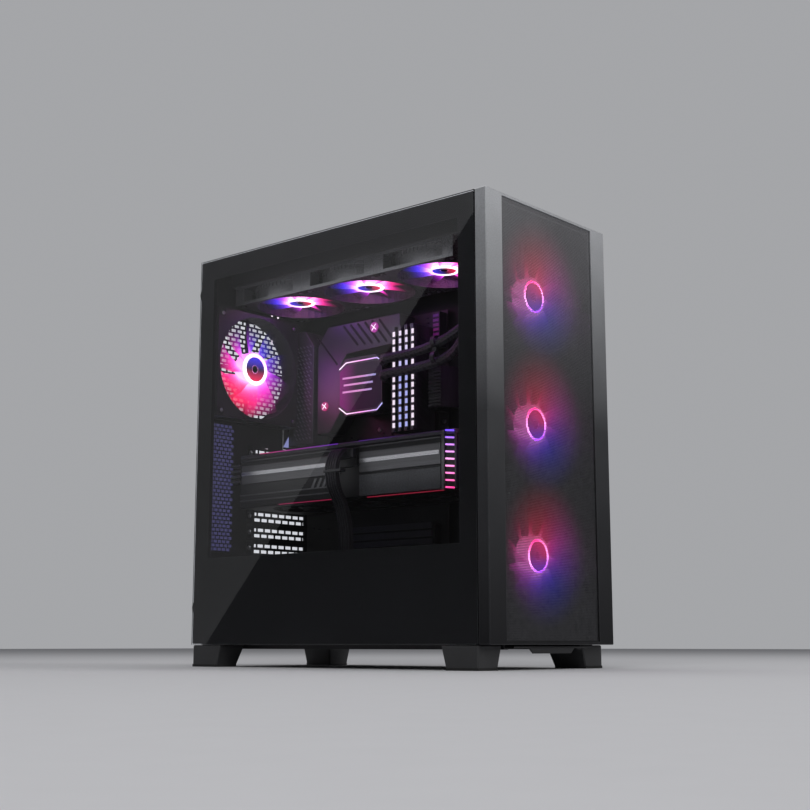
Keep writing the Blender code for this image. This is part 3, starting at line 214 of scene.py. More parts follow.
def dust_effect() -> bpy.types.NodeTree:
    """A faint mask of settled dust, thicker on faces that look up."""
    effect = Effect("settled_dust", {"Vector": ("Vector", (0, 0, 0)), "Amount": ("Float", 0.3)}, {"Mask": "Float"})
    facing = effect.add("ShaderNodeSeparateXYZ", {0: effect.add("ShaderNodeNewGeometry").outputs["Normal"]})
    upward = effect.sum("MAXIMUM", facing.outputs[2], 0.08)
    speck = effect.add("ShaderNodeTexNoise", {"Vector": effect.entry["Vector"], "Scale": 420.0, "Detail": 5.0})
    fine = effect.sum("POWER", speck.outputs[0], 3.0)
    return effect.give(Mask=effect.sum("MULTIPLY", effect.sum("MULTIPLY", upward, fine), effect.entry["Amount"]))


def spin_glow_effect() -> bpy.types.NodeTree:
    """Lamp light in frosted plastic round a hub, and the painted glow of the fans in the front mesh: it turns from
    one colour to another across the hub, is palest beside it and fades away from it."""
    effect = Effect(
        "spin_glow",
        {
            "Vector": ("Vector", (0, 0, 0)), "Toward": ("Vector", (1, 0, 0)), "Inner": ("Float", 20 * MM),
            "Outer": ("Float", 65 * MM), "Fade": ("Float", 1.6), "Edge": ("Float", 0.3),
            "Near": ("Color", (1, 1, 1, 1)), "Middle": ("Color", (1, 1, 1, 1)), "Far": ("Color", (1, 1, 1, 1)),
            "Core": ("Color", (1, 1, 1, 1)),
        },
        {"Color": "Color", "Level": "Float"},
    )
    given = effect.entry
    across = effect.vector("DOT_PRODUCT", {0: given["Vector"], 1: given["Toward"]}, "Value")
    radius = effect.vector("LENGTH", {0: given["Vector"]}, "Value")
    turn = effect.sum("DIVIDE", across, effect.sum("MAXIMUM", radius, 1 * MM))
    share = effect.sum("MULTIPLY_ADD", turn, 0.5, 0.5)
    hue = effect.three(share, given["Near"], given["Middle"], given["Far"])
    way = effect.sum(
        "DIVIDE", effect.sum("SUBTRACT", radius, given["Inner"]),
        effect.sum("SUBTRACT", given["Outer"], given["Inner"]),
    )
    left = effect.sum("MINIMUM", effect.sum("MAXIMUM", effect.sum("SUBTRACT", 1.0, way), 0.0), 1.0)
    square = effect.sum("POWER", share, 2.0)
    edge = effect.sum("MULTIPLY", square, effect.sum("POWER", left, 0.5))
    level = effect.sum("MULTIPLY_ADD", edge, given["Edge"], effect.sum("POWER", left, given["Fade"]))
    heart = effect.sum("POWER", left, 7.0)
    lit = effect.vector("SCALE", {0: effect.blend(heart, hue, given["Core"]), "Scale": level})
    return effect.give(Color=lit, Level=level)


def fade_effect() -> bpy.types.NodeTree:
    """A smooth run between three colours along one direction, from one place to another."""
    effect = Effect(
        "colour_run",
        {
            "Vector": ("Vector", (0, 0, 0)), "Along": ("Vector", (0, 0, 1)), "Start": ("Float", 0.0),
            "End": ("Float", 1.0), "First": ("Color", (1, 1, 1, 1)), "Middle": ("Color", (1, 1, 1, 1)),
            "Last": ("Color", (1, 1, 1, 1)),
        },
        {"Color": "Color", "Share": "Float"},
    )
    given = effect.entry
    place = effect.vector("DOT_PRODUCT", {0: given["Vector"], 1: given["Along"]}, "Value")
    share = effect.add(
        "ShaderNodeMapRange", {"Value": place, "From Min": given["Start"], "From Max": given["End"]},
    ).outputs[0]
    return effect.give(Color=effect.three(share, given["First"], given["Middle"], given["Last"]), Share=share)


class Effects:
    """The shader groups, each built once and shared by the finishes."""

    def __init__(self) -> None:
        """Builds every group."""
        self.grain = grain_effect()
        self.brushed = brushed_effect()
        self.wear = wear_effect()
        self.dust = dust_effect()
        self.spin_glow = spin_glow_effect()
        self.run = fade_effect()


EFFECTS = Effects()


# ---- finishes -------------------------------------------------------------------------------


def rgba(colour: Colour, scale: float = 1.0) -> tuple[float, float, float, float]:
    """A colour with full alpha, made lighter or darker."""
    return (colour[0] * scale, colour[1] * scale, colour[2] * scale, 1.0)


class Surface(Graph):
    """A material being built: its tree, its shader and the place on the piece."""

    def __init__(self, name: str) -> None:
        """Makes an empty material with one Principled shader."""
        self.material = bpy.data.materials.new(name)
        self.material.use_nodes = True
        super().__init__(self.material.node_tree)
        self.shader = self.tree.nodes["Principled BSDF"]
        self.place = self.add("ShaderNodeTexCoord").outputs["Object"]

    def set(self, **values: float) -> None:
        """Sets plain values on the shader; an underscore in a name stands for a space."""
        for label, value in values.items():
            self.shader.inputs[label.replace("_", " ")].default_value = value

    def feed(self, label: str, socket: bpy.types.NodeSocket) -> None:
        """Feeds one of the shader's inputs."""
        self.tree.links.new(socket, self.shader.inputs[label])

    def bump(self, height: bpy.types.NodeSocket, depth: float, strength: float = 1.0) -> None:
        """Turns a height into the shader's normal."""
        node = self.add("ShaderNodeBump", {"Strength": strength, "Distance": depth, "Height": height})
        self.feed("Normal", node.outputs[0])


@dataclass(frozen=True)
class Coated:
    """Powder-coated steel, painted metal or moulded plastic: fine bead, drift, dust and worn edges."""

    name: str
    colour: Colour
    roughness: float = 0.5
    metallic: float = 0.0
    bead: float = 900.0
    depth: float = 0.05 * MM
    contrast: float = 0.5
    wear: float = 0.0
    dust: float = 0.15
    coat: float = 0.0

    def build(self) -> bpy.types.Material:
        """Builds the material."""
        look = Surface(self.name)
        grain = look.group(EFFECTS.grain, {"Vector": look.place, "Scale": self.bead})
        shade = look.spread(grain.outputs["Shade"], 1 - self.contrast, 1 + self.contrast)
        base = look.vector("SCALE", {0: self.colour, "Scale": shade})
        if self.wear:
            worn = look.group(EFFECTS.wear, {"Vector": look.place})
            share = look.sum("MULTIPLY", worn.outputs[0], self.wear)
            base = look.blend(share, base, (0.3, 0.3, 0.32, 1.0))
        dusty = look.group(EFFECTS.dust, {"Vector": look.place, "Amount": self.dust})
        look.feed("Base Color", look.blend(dusty.outputs[0], base, (0.32, 0.31, 0.3, 1.0)))
        rough = look.spread(grain.outputs["Shade"], self.roughness - 0.08, self.roughness + 0.08)
        look.feed("Roughness", rough)
        look.bump(grain.outputs["Height"], self.depth, 0.5)
        look.set(Metallic=self.metallic, Coat_Weight=self.coat, Coat_Roughness=0.08)
        return look.material


@dataclass(frozen=True)
class Brushed:
    """Brushed metal, its lines along one axis, with a faint tint that drifts over it."""

    name: str
    colour: Colour
    roughness: float = 0.35
    metallic: float = 0.9
    along: Axis = Axis.Y
    contrast: float = 0.35
    tint: Colour = (0.0, 0.0, 0.0)

    def build(self) -> bpy.types.Material:
        """Builds the material."""
        look = Surface(self.name)
        stretch = [900.0, 900.0, 900.0]
        stretch[self.along.value] = 9.0
        lines = look.group(EFFECTS.brushed, {"Vector": look.place, "Stretch": stretch})
        grain = look.group(EFFECTS.grain, {"Vector": look.place, "Scale": 500.0, "Drift": 14.0})
        shade = look.spread(lines.outputs["Shade"], 1 - self.contrast, 1 + self.contrast)
        base = look.vector("SCALE", {0: self.colour, "Scale": shade})
        tinted = look.blend(look.spread(grain.outputs["Shade"], 0.2, 0.8), base, rgba(self.tint))
        look.feed("Base Color", tinted if any(self.tint) else base)
        look.feed("Roughness", look.spread(lines.outputs["Shade"], self.roughness - 0.1, self.roughness + 0.1))
        look.bump(lines.outputs["Height"], 0.02 * MM, 0.4)
        look.set(Metallic=self.metallic)
        return look.material


@dataclass(frozen=True)
class CoatWithPaintedLight:
    """The front's satin coat with painted light: greyer at the top where the light falls, running to painted shade
    near black at the foot.
    """

    name: str
    low: float
    high: float
    foot: Colour = (0.01, 0.01, 0.012)
    middle: Colour = (0.07, 0.071, 0.076)
    head: Colour = (0.52, 0.53, 0.55)
    metallic: float = 0.55
    # the fans' centres, whose light is painted into the wires as a glow
    lights: tuple[Point, ...] = ()

    def build(self) -> bpy.types.Material:
        """Builds the material."""
        look = Surface(self.name)
        # painted light and shade: lighter at the top, darker towards the foot
        run = look.group(
            EFFECTS.run,
            {
                "Vector": look.place, "Start": self.low, "End": self.high, "First": rgba(self.foot),
                "Middle": rgba(self.middle), "Last": rgba(self.head),
            },
        )
        grain = look.group(EFFECTS.grain, {"Vector": look.place, "Scale": 700.0})
        shade = look.spread(grain.outputs["Shade"], 0.6, 1.4)
        base = look.vector("SCALE", {0: run.outputs["Color"], "Scale": shade})
        worn = look.group(EFFECTS.wear, {"Vector": look.place})
        look.feed("Base Color", look.blend(look.sum("MULTIPLY", worn.outputs[0], 0.5), base, (0.3, 0.3, 0.32, 1)))
        look.feed("Roughness", look.spread(grain.outputs["Shade"], 0.34, 0.5))
        look.bump(grain.outputs["Height"], 0.04 * MM, 0.5)
        look.set(Metallic=self.metallic)
        if self.lights:
            # painted glow of the fans behind, as emission in the mesh
            look.feed("Emission Color", self.scatter(look))
            look.set(Emission_Strength=0.34)
        return look.material

    def scatter(self, look: Surface) -> bpy.types.NodeSocket:
        """Painted glow: the light of the fans behind, painted as emission in the wires, red above each hub and blue
        below.

        Args:
            look: the material to add it to.

        Returns:
            The colour of that light.
        """
        total = (0.0, 0.0, 0.0)
        for centre in self.lights:
            place = look.vector("SUBTRACT", {0: look.place, 1: centre})
            glow = look.group(
                EFFECTS.spin_glow,
                {
                    "Vector": look.vector("MULTIPLY", {0: place, 1: (1.0, 0.0, 1.0)}), "Toward": (0.4, 0.0, -0.92),
                    "Inner": 4 * MM, "Outer": 84 * MM, "Fade": 1.7, "Edge": 0.0, "Near": rgba(Light.RED.value),
                    "Middle": rgba(Light.MAGENTA.value), "Far": rgba(Light.BLUE.value),
                    "Core": rgba(Light.ROSE.value),
                },
            )
            total = look.vector("ADD", {0: glow.outputs["Color"], 1: total})
        return total


@dataclass(frozen=True)
class Clear:
    """Lightly tinted toughened glass with faint smears."""

    name: str
    tint: Colour = (0.86, 0.87, 0.9)

    def build(self) -> bpy.types.Material:
        """Builds the material."""
        look = Surface(self.name)
        smear = look.group(EFFECTS.grain, {"Vector": look.place, "Scale": 30.0, "Drift": 5.0})
        shade = look.spread(smear.outputs["Shade"], 0.97, 1.03)
        look.feed("Base Color", look.vector("SCALE", {0: self.tint, "Scale": shade}))
        look.feed("Roughness", look.spread(smear.outputs["Shade"], 0.0, 0.006))
        look.set(Transmission_Weight=1.0, IOR=1.5, Metallic=0.0)
        return look.material


@dataclass(frozen=True)
class FrostedBlade:
    """A frosted fan blade that carries the hub lamps' light outwards."""

    name: str
    centre: Point
    toward: Point
    near: Light
    middle: Light
    far: Light
    core: Light
    inner: float
    outer: float
    power: float = 3.0
    fade: float = 1.8
    cover: float = 0.5
    edge: float = 0.3

    def build(self) -> bpy.types.Material:
        """Builds the material."""
        look = Surface(self.name)
        place = look.vector("SUBTRACT", {0: look.place, 1: self.centre})
        flat = look.vector("MULTIPLY", {0: place, 1: self.flat()})
        glow = look.group(
            EFFECTS.spin_glow,
            {
                "Vector": flat, "Toward": self.toward, "Inner": self.inner, "Outer": self.outer, "Fade": self.fade,
                "Edge": self.edge, "Near": rgba(self.near.value), "Middle": rgba(self.middle.value),
                "Far": rgba(self.far.value), "Core": rgba(self.core.value),
            },
        )
        grain = look.group(EFFECTS.grain, {"Vector": look.place, "Scale": 600.0, "Drift": 60.0})
        shade = look.spread(grain.outputs["Shade"], 0.75, 1.2)
        look.feed("Emission Color", look.vector("SCALE", {0: glow.outputs["Color"], "Scale": shade}))
        look.feed("Base Color", look.vector("SCALE", {0: (0.03, 0.03, 0.035), "Scale": shade}))
        look.feed("Roughness", look.spread(grain.outputs["Shade"], 0.35, 0.5))
        look.feed("Alpha", look.spread(glow.outputs["Level"], self.cover, 1.0))
        look.set(Emission_Strength=self.power)
        return look.material

    def flat(self) -> Point:
        """The two directions that lie in the fan's plane, as ones."""
        axis = 2 if abs(self.toward[2]) < 1e-6 and abs(self.toward[1]) > 1e-6 else 1
        return tuple(0.0 if i == axis else 1.0 for i in range(3))


@dataclass(frozen=True)
class Lamp:
    """A light strip or ring behind a frosted cover, its colour running along one direction; it also paints light
    onto parts that are no lamps.
    """

    name: str
    along: Point
    start: float
    end: float
    first: Light
    middle: Light
    last: Light
    power: float = 6.0
    grainy: float = 0.25
    base: float = 0.12

    def build(self) -> bpy.types.Material:
        """Builds the material."""
        look = Surface(self.name)
        run = look.group(
            EFFECTS.run,
            {
                "Vector": look.place, "Along": self.along, "Start": self.start, "End": self.end,
                "First": rgba(self.first.value), "Middle": rgba(self.middle.value), "Last": rgba(self.last.value),
            },
        )
        grain = look.group(EFFECTS.grain, {"Vector": look.place, "Scale": 450.0, "Drift": 90.0})
        shade = look.spread(grain.outputs["Shade"], 1 - self.grainy, 1 + self.grainy)
        look.feed("Emission Color", look.vector("SCALE", {0: run.outputs["Color"], "Scale": shade}))
        look.feed("Base Color", look.vector("SCALE", {0: (self.base,) * 3, "Scale": shade}))
        look.set(Emission_Strength=self.power, Roughness=0.4)
        return look.material


@dataclass(frozen=True)
class Board:
    """A black solder mask with fine copper traces showing through it."""

    name: str
    colour: Colour = (0.008, 0.008, 0.01)

    def build(self) -> bpy.types.Material:
        """Builds the material."""
        look = Surface(self.name)
        turned = look.add("ShaderNodeMapping", {"Vector": look.place, "Rotation": (0.0, 0.0, 0.0)})
        cells = look.add(
            "ShaderNodeTexVoronoi", {"Vector": turned.outputs[0], "Scale": 140.0, "Randomness": 0.8},
            distance="CHEBYCHEV", feature="F2",
        )
        lines = look.add(
            "ShaderNodeTexWave", {"Vector": turned.outputs[0], "Scale": 190.0, "Distortion": 1.5},
            bands_direction="Z",
        )
        trace = look.sum("GREATER_THAN", look.sum("MULTIPLY", lines.outputs[1], cells.outputs[0]), 0.005)
        traces = look.blend(look.sum("MULTIPLY", trace, 0.5), rgba(self.colour), (0.03, 0.028, 0.022, 1.0))
        look.feed("Base Color", traces)
        look.feed("Roughness", look.spread(lines.outputs[1], 0.35, 0.5))
        look.bump(trace, 0.03 * MM, 0.4)
        return look.material


@dataclass(frozen=True)
class Braid:
    """A braided sleeve: crossed fine strands, by the piece's own place."""

    name: str
    colour: Colour
    pitch: float = 1.1 * MM

    def build(self) -> bpy.types.Material:
        """Builds the material."""
        look = Surface(self.name)
        count = 1 / self.pitch
        waves = []
        for sign in (1.0, -1.0):
            turned = look.add(
                "ShaderNodeMapping", {"Vector": look.place, "Rotation": (sign * 0.8, 0.6, sign * 0.8)},
            )
            wave = look.add("ShaderNodeTexWave", {"Vector": turned.outputs[0], "Scale": count / 6.0})
            waves.append(wave.outputs[1])
        height = look.sum("MAXIMUM", waves[0], waves[1])
        shade = look.spread(height, 0.4, 1.5)
        look.feed("Base Color", look.vector("SCALE", {0: self.colour, "Scale": shade}))
        look.feed("Roughness", look.spread(height, 0.75, 0.5))
        look.bump(height, 0.25 * MM, 0.7)
        return look.material


# ---- shapes ---------------------------------------------------------------------------------


def place(axis: Axis, along: float, a: float, b: float) -> Point:
    """The point at a distance along an axis, with a and b on the other two axes in order."""
    return {Axis.X: (along, a, b), Axis.Y: (a, along, b), Axis.Z: (a, b, along)}[axis]


class Shape:
    """A mesh being built from solids, in metres, in the frame's axes."""

    def __init__(self) -> None:
        """Starts with nothing."""
        self.bm = bmesh.new()

    def block(self, x: tuple, y: tuple, z: tuple) -> "Shape":
        """Adds a box given by its low and high limits on each axis."""
        size = (x[1] - x[0], y[1] - y[0], z[1] - z[0])
        middle = Vector((x[0] + x[1], y[0] + y[1], z[0] + z[1])) / 2
        matrix = Matrix.Translation(middle) @ Matrix.Diagonal((*size, 1.0))
        bmesh.ops.create_cube(self.bm, size=1.0, matrix=matrix)
        return self

    def prism(self, outline: list, axis: Axis, start: float, end: float) -> "Shape":
        """Adds an outline pushed along an axis."""
        rings = [[self.bm.verts.new(place(axis, along, a, b)) for a, b in outline] for along in (start, end)]
        self.bm.faces.new(rings[0])
        self.bm.faces.new(rings[1])
        count = len(outline)
        for i in range(count):
            j = (i + 1) % count
            self.bm.faces.new((rings[0][i], rings[0][j], rings[1][j], rings[1][i]))
        return self

    def hoop(self, outer: list, inner: list, axis: Axis, start: float, end: float) -> "Shape":
        """Adds a flat ring between two outlines of equal count, pushed along an axis."""
        count = len(outer)
        rows = [
            [self.bm.verts.new(place(axis, along, a, b)) for a, b in outline]
            for outline, along in ((outer, start), (inner, start), (inner, end), (outer, end))
        ]
        for low, high in zip(rows, [*rows[1:], rows[0]]):
            for i in range(count):
                j = (i + 1) % count
                self.bm.faces.new((low[i], low[j], high[j], high[i]))
        return self

    def turned(self, profile: list, axis: Axis, centre: tuple, steps: int = 32) -> "Shape":
        """Adds a closed solid of revolution from (radius, along) points; a radius of 0 is a tip."""
        rings = []
        for radius, along in profile:
            if radius == 0:
                rings.append([self.bm.verts.new(place(axis, along, *centre))])
                continue
            ring = []
            for i in range(steps):
                turn = 2 * math.pi * i / steps
                a, b = centre[0] + radius * math.cos(turn), centre[1] + radius * math.sin(turn)
                ring.append(self.bm.verts.new(place(axis, along, a, b)))
            rings.append(ring)
        closed = profile[0][0] != 0
        pairs = list(zip(rings, [*rings[1:], rings[0]])) if closed else list(zip(rings, rings[1:]))
        for low, high in pairs:
            for i in range(steps):
                j = (i + 1) % steps
                corners = [low[i % len(low)], low[j % len(low)], high[j % len(high)], high[i % len(high)]]
                unique = list(dict.fromkeys(corners))
                self.bm.faces.new(unique)
        return self

    def sleeve(self, radii: tuple, ends: tuple, axis: Axis, centre: tuple, steps: int = 28) -> "Shape":
        """Adds a plain tube from its inner and outer radius and its two ends along an axis."""
        (inner, outer), (start, end) = radii, ends
        return self.turned([(inner, start), (outer, start), (outer, end), (inner, end)], axis, centre, steps)

    def bar(self, start: Point, end: Point, wide: float, thick: float, face: Point = LEFTWARD) -> "Shape":
        """Adds a straight bar of rectangular section; face is the way its thin side looks."""
        a, b = Vector(start), Vector(end)
        along = (b - a).normalized()
        out = Vector(face).normalized()
        across = along.cross(out).normalized() * wide / 2
        lift = out * thick / 2
        corners = ((-1, -1), (1, -1), (1, 1), (-1, 1))
        points = [self.bm.verts.new(p + s * across + t * lift) for p in (a, b) for s, t in corners]
        for loop in ((0, 1, 2, 3), (7, 6, 5, 4), (0, 4, 5, 1), (1, 5, 6, 2), (2, 6, 7, 3), (3, 7, 4, 0)):
            self.bm.faces.new([points[i] for i in loop])
        return self

    def piece(
        self, name: str, body: str, slot: str, finish: bpy.types.Material, bevel: float = 0.0, segments: int = 2,
    ) -> bpy.types.Object:
        """Ends the shape as one piece that rides on a body.

        Args:
            name: the piece's name.
            body: the body it moves with.
            slot: the record's material slot; not used.
            finish: its material.
            bevel: the width its edges are rounded by, or 0.
            segments: how many steps the rounding has.

        Returns:
            The new object.
        """
        bmesh.ops.recalc_face_normals(self.bm, faces=self.bm.faces[:])
        mesh = bpy.data.meshes.new(name)
        self.bm.to_mesh(mesh)
        self.bm.free()
        item = bpy.data.objects.new(name, mesh)
        bpy.context.scene.collection.objects.link(item)
        return finished(item, body, finish, bevel, segments)


def finished(
    item: bpy.types.Object, body: str, finish: bpy.types.Material, bevel: float = 0.0, segments: int = 2,
) -> bpy.types.Object:
    """Dresses a new object, rounds its edges and sets it riding on its body."""
    item.data.materials.clear()
    item.data.materials.append(finish)
    item.data.shade_smooth()
    item.data.set_sharp_from_angle(angle=math.radians(32))
    if bevel:
        modifier = item.modifiers.new("Round", "BEVEL")
        modifier.width = bevel
        modifier.segments = segments
        modifier.limit_method = "ANGLE"
        modifier.angle_limit = math.radians(40)
        modifier.harden_normals = True
    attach(item, body)
    LOG.info("%s: %d faces on %s", item.name, len(item.data.polygons), body)
    return item


def rectangle(a: tuple, b: tuple) -> list:
    """A rectangle's outline from its limits on two axes."""
    return [(a[0], b[0]), (a[1], b[0]), (a[1], b[1]), (a[0], b[1])]


def circle(centre: tuple, radius: float, steps: int = 48) -> list:
    """A circle's outline."""
    return [
        (
            centre[0] + radius * math.cos(2 * math.pi * i / steps),
            centre[1] + radius * math.sin(2 * math.pi * i / steps),
        )
        for i in range(steps)
    ]


def about(middle: float, half: float) -> tuple[float, float]:
    """The limits half to each side of a middle."""
    return (middle - half, middle + half)


# ---- geometry node recipes ------------------------------------------------------------------


class Recipe(Graph):
    """A Geometry Nodes tree with named inputs, whose result is turned into a plain piece."""

    def __init__(self, name: str, inputs: dict[str, str]) -> None:
        """Makes the tree.

        Args:
            name: the tree's name.
            inputs: each input's name to its kind, such as Float, Vector, Int or Material.
        """
        super().__init__(bpy.data.node_groups.new(name, "GeometryNodeTree"))
        face = self.tree.interface
        face.new_socket(name="Geometry", in_out="INPUT", socket_type="NodeSocketGeometry")
        self.keys = {}
        for label, kind in inputs.items():
            socket = face.new_socket(name=label, in_out="INPUT", socket_type=f"NodeSocket{kind}")
            self.keys[label] = socket.identifier
        face.new_socket(name="Geometry", in_out="OUTPUT", socket_type="NodeSocketGeometry")
        self.entry = self.tree.nodes.new("NodeGroupInput").outputs
        self.exit = self.tree.nodes.new("NodeGroupOutput").inputs

    def end(self, geometry: bpy.types.NodeSocket) -> "Recipe":
        """Realizes the geometry, gives it the material input and ends the tree."""
        real = self.add("GeometryNodeRealizeInstances", {0: geometry})
        dressed = self.add("GeometryNodeSetMaterial", {0: real.outputs[0], "Material": self.entry["Material"]})
        self.tree.links.new(dressed.outputs[0], self.exit[0])
        return self

    def make(
        self, name: str, body: str, slot: str, finish: bpy.types.Material, base: bpy.types.ID | None = None,
        **values: object,
    ) -> bpy.types.Object:
        """Runs the recipe and returns its result as a plain mesh piece.

        Args:
            name: the piece's name.
            body: the body it moves with.
            slot: the record's material slot; not used.
            finish: its material.
            base: a mesh or curve that the tree starts from, if any.
            values: the tree's inputs, an underscore standing for a space.

        Returns:
            The new object.
        """
        seed = bpy.data.objects.new(name + "_seed", base or bpy.data.meshes.new(name + "_seed"))
        bpy.context.scene.collection.objects.link(seed)
        modifier = seed.modifiers.new("Recipe", "NODES")
        modifier.node_group = self.tree
        for label, value in {**values, "Material": finish}.items():
            modifier[self.keys[label.replace("_", " ")]] = value
        bpy.context.view_layer.update()
        graph = bpy.context.evaluated_depsgraph_get()
        mesh = bpy.data.meshes.new_from_object(seed.evaluated_get(graph), depsgraph=graph)
        bpy.data.objects.remove(seed, do_unlink=True)
        mesh.name = name
        item = bpy.data.objects.new(name, mesh)
        bpy.context.scene.collection.objects.link(item)
        return finished(item, body, finish)


def array_recipe() -> Recipe:
    """Rows of equal blocks, each second row shifted: perforations, bars, fins, ribs and slats."""
    recipe = Recipe(
        "block_array",
        {
            "Start": "Vector", "Size": "Vector", "Turn": "Vector", "Count": "Int", "Step": "Vector", "Rows": "Int",
            "Row Step": "Vector", "Shift": "Vector", "Material": "Material",
        },
    )
    given = recipe.entry
    rows = recipe.add(
        "GeometryNodeMeshLine",
        {"Count": given["Rows"], "Start Location": given["Start"], "Offset": given["Row Step"]},
    )
    odd = recipe.sum("MODULO", recipe.add("GeometryNodeInputIndex").outputs[0], 2.0)
    shift = recipe.vector("SCALE", {0: given["Shift"], "Scale": odd})
    shifted = recipe.add("GeometryNodeSetPosition", {"Geometry": rows.outputs[0], "Offset": shift})
    line = recipe.add("GeometryNodeMeshLine", {"Count": given["Count"], "Offset": given["Step"]})
    grid = recipe.add("GeometryNodeInstanceOnPoints", {"Points": shifted.outputs[0], "Instance": line.outputs[0]})
    points = recipe.add("GeometryNodeRealizeInstances", {0: grid.outputs[0]})
    cube = recipe.add("GeometryNodeMeshCube", {"Size": given["Size"]})
    blocks = recipe.add(
        "GeometryNodeInstanceOnPoints",
        {"Points": points.outputs[0], "Instance": cube.outputs[0], "Rotation": given["Turn"]},
    )
    return recipe.end(blocks.outputs[0])


def ring_recipe() -> Recipe:
    """Equal blocks round a circle: knurls, duct teeth and guard spokes."""
    recipe = Recipe(
        "block_ring",
        {
            "Count": "Int", "Radius": "Float", "Size": "Vector", "Centre": "Vector", "Tilt": "Vector",
            "Material": "Material",
        },
    )
    given = recipe.entry
    rim = recipe.add("GeometryNodeMeshCircle", {"Vertices": given["Count"], "Radius": given["Radius"]})
    where = recipe.add("GeometryNodeInputPosition")
    facing = recipe.add("FunctionNodeAlignEulerToVector", {"Vector": where.outputs[0]}, axis="X")
    cube = recipe.add("GeometryNodeMeshCube", {"Size": given["Size"]})
    blocks = recipe.add(
        "GeometryNodeInstanceOnPoints",
        {"Points": rim.outputs[0], "Instance": cube.outputs[0], "Rotation": facing.outputs[0]},
    )
    moved = recipe.add(
        "GeometryNodeTransform",
        {"Geometry": blocks.outputs[0], "Translation": given["Centre"], "Rotation": given["Tilt"]},
    )
    return recipe.end(moved.outputs[0])


def screw_recipe() -> Recipe:
    """A domed screw head with a cross recess at every point of the base mesh."""
    recipe = Recipe("screws", {"Radius": "Float", "Height": "Float", "Tilt": "Vector", "Material": "Material"})
    given = recipe.entry
    half = recipe.sum("MULTIPLY", given["Height"], 0.5)
    small = recipe.sum("MULTIPLY", given["Radius"], 0.72)
    bar = recipe.sum("MULTIPLY", given["Radius"], 1.1)
    slot = recipe.sum("MULTIPLY", given["Radius"], 0.24)
    rim = recipe.add(
        "GeometryNodeMeshCylinder", {"Vertices": 16, "Radius": given["Radius"], "Depth": given["Height"]},
    )
    dome = recipe.add(
        "GeometryNodeMeshCone",
        {"Vertices": 16, "Radius Top": small, "Radius Bottom": given["Radius"], "Depth": half},
    )
    raised = recipe.add("ShaderNodeCombineXYZ", {2: half})
    top = recipe.add("GeometryNodeTransform", {"Geometry": dome.outputs[0], "Translation": raised.outputs[0]})
    bars = []
    for size in ({0: bar, 1: slot}, {0: slot, 1: bar}):
        flat = recipe.add("ShaderNodeCombineXYZ", {**size, 2: given["Height"]})
        cube = recipe.add("GeometryNodeMeshCube", {"Size": flat.outputs[0]})
        high = recipe.add("ShaderNodeCombineXYZ", {2: given["Height"]})
        bars.append(
            recipe.add("GeometryNodeTransform", {"Geometry": cube.outputs[0], "Translation": high.outputs[0]})
        )
    head = recipe.add("GeometryNodeJoinGeometry")
    for part in (rim, top):
        recipe.tree.links.new(part.outputs[0], head.inputs[0])
    recess = recipe.add("GeometryNodeMeshBoolean", {"Mesh 1": head.outputs[0]}, operation="DIFFERENCE")
    for part in bars:
        recipe.tree.links.new(part.outputs[0], recess.inputs["Mesh 2"])
    heads = recipe.add(
        "GeometryNodeInstanceOnPoints",
        {"Points": given["Geometry"], "Instance": recess.outputs[0], "Rotation": given["Tilt"]},
    )
    return recipe.end(heads.outputs[0])


def strand_recipe() -> Recipe:
    """Parallel round strands that follow the base curve, side by side."""
    recipe = Recipe(
        "strands",
        {
            "Count": "Int", "Start": "Vector", "Step": "Vector", "Radius": "Float", "Sides": "Int",
            "Material": "Material",
        },
    )
    given = recipe.entry
    line = recipe.add(
        "GeometryNodeMeshLine",
        {"Count": given["Count"], "Start Location": given["Start"], "Offset": given["Step"]},
    )
    copies = recipe.add("GeometryNodeInstanceOnPoints", {"Points": line.outputs[0], "Instance": given["Geometry"]})
    real = recipe.add("GeometryNodeRealizeInstances", {0: copies.outputs[0]})
    section = recipe.add(
        "GeometryNodeCurvePrimitiveCircle", {"Resolution": given["Sides"], "Radius": given["Radius"]},
    )
    tubes = recipe.add(
        "GeometryNodeCurveToMesh",
        {"Curve": real.outputs[0], "Profile Curve": section.outputs[0], "Fill Caps": True},
    )
    return recipe.end(tubes.outputs[0])


def scatter_recipe() -> Recipe:
    """Small chips and capacitors strewn over the base mesh, never too close, from a fixed seed."""
    recipe = Recipe(
        "scatter",
        {
            "Gap": "Float", "Density": "Float", "Seed": "Int", "Least": "Vector", "Most": "Vector",
            "Material": "Material",
        },
    )
    given = recipe.entry
    points = recipe.add(
        "GeometryNodeDistributePointsOnFaces",
        {
            "Mesh": given["Geometry"], "Distance Min": given["Gap"], "Density Max": given["Density"],
            "Seed": given["Seed"],
        },
        distribute_method="POISSON",
    )
    sizes = recipe.add(
        "FunctionNodeRandomValue", {0: given["Least"], 1: given["Most"], "Seed": 4}, data_type="FLOAT_VECTOR",
    )
    cube = recipe.add("GeometryNodeMeshCube", {"Size": (1.0, 1.0, 1.0)})
    chips = recipe.add(
        "GeometryNodeInstanceOnPoints",
        {"Points": points.outputs[0], "Instance": cube.outputs[0], "Scale": sizes.outputs[0]},
    )
    return recipe.end(chips.outputs[0])


class Recipes:
    """The geometry trees, each built once."""

    def __init__(self) -> None:
        """Builds every tree."""
        self.array = array_recipe()
        self.ring = ring_recipe()
        self.screws = screw_recipe()
        self.strands = strand_recipe()
        self.scatter = scatter_recipe()


RECIPES = Recipes()


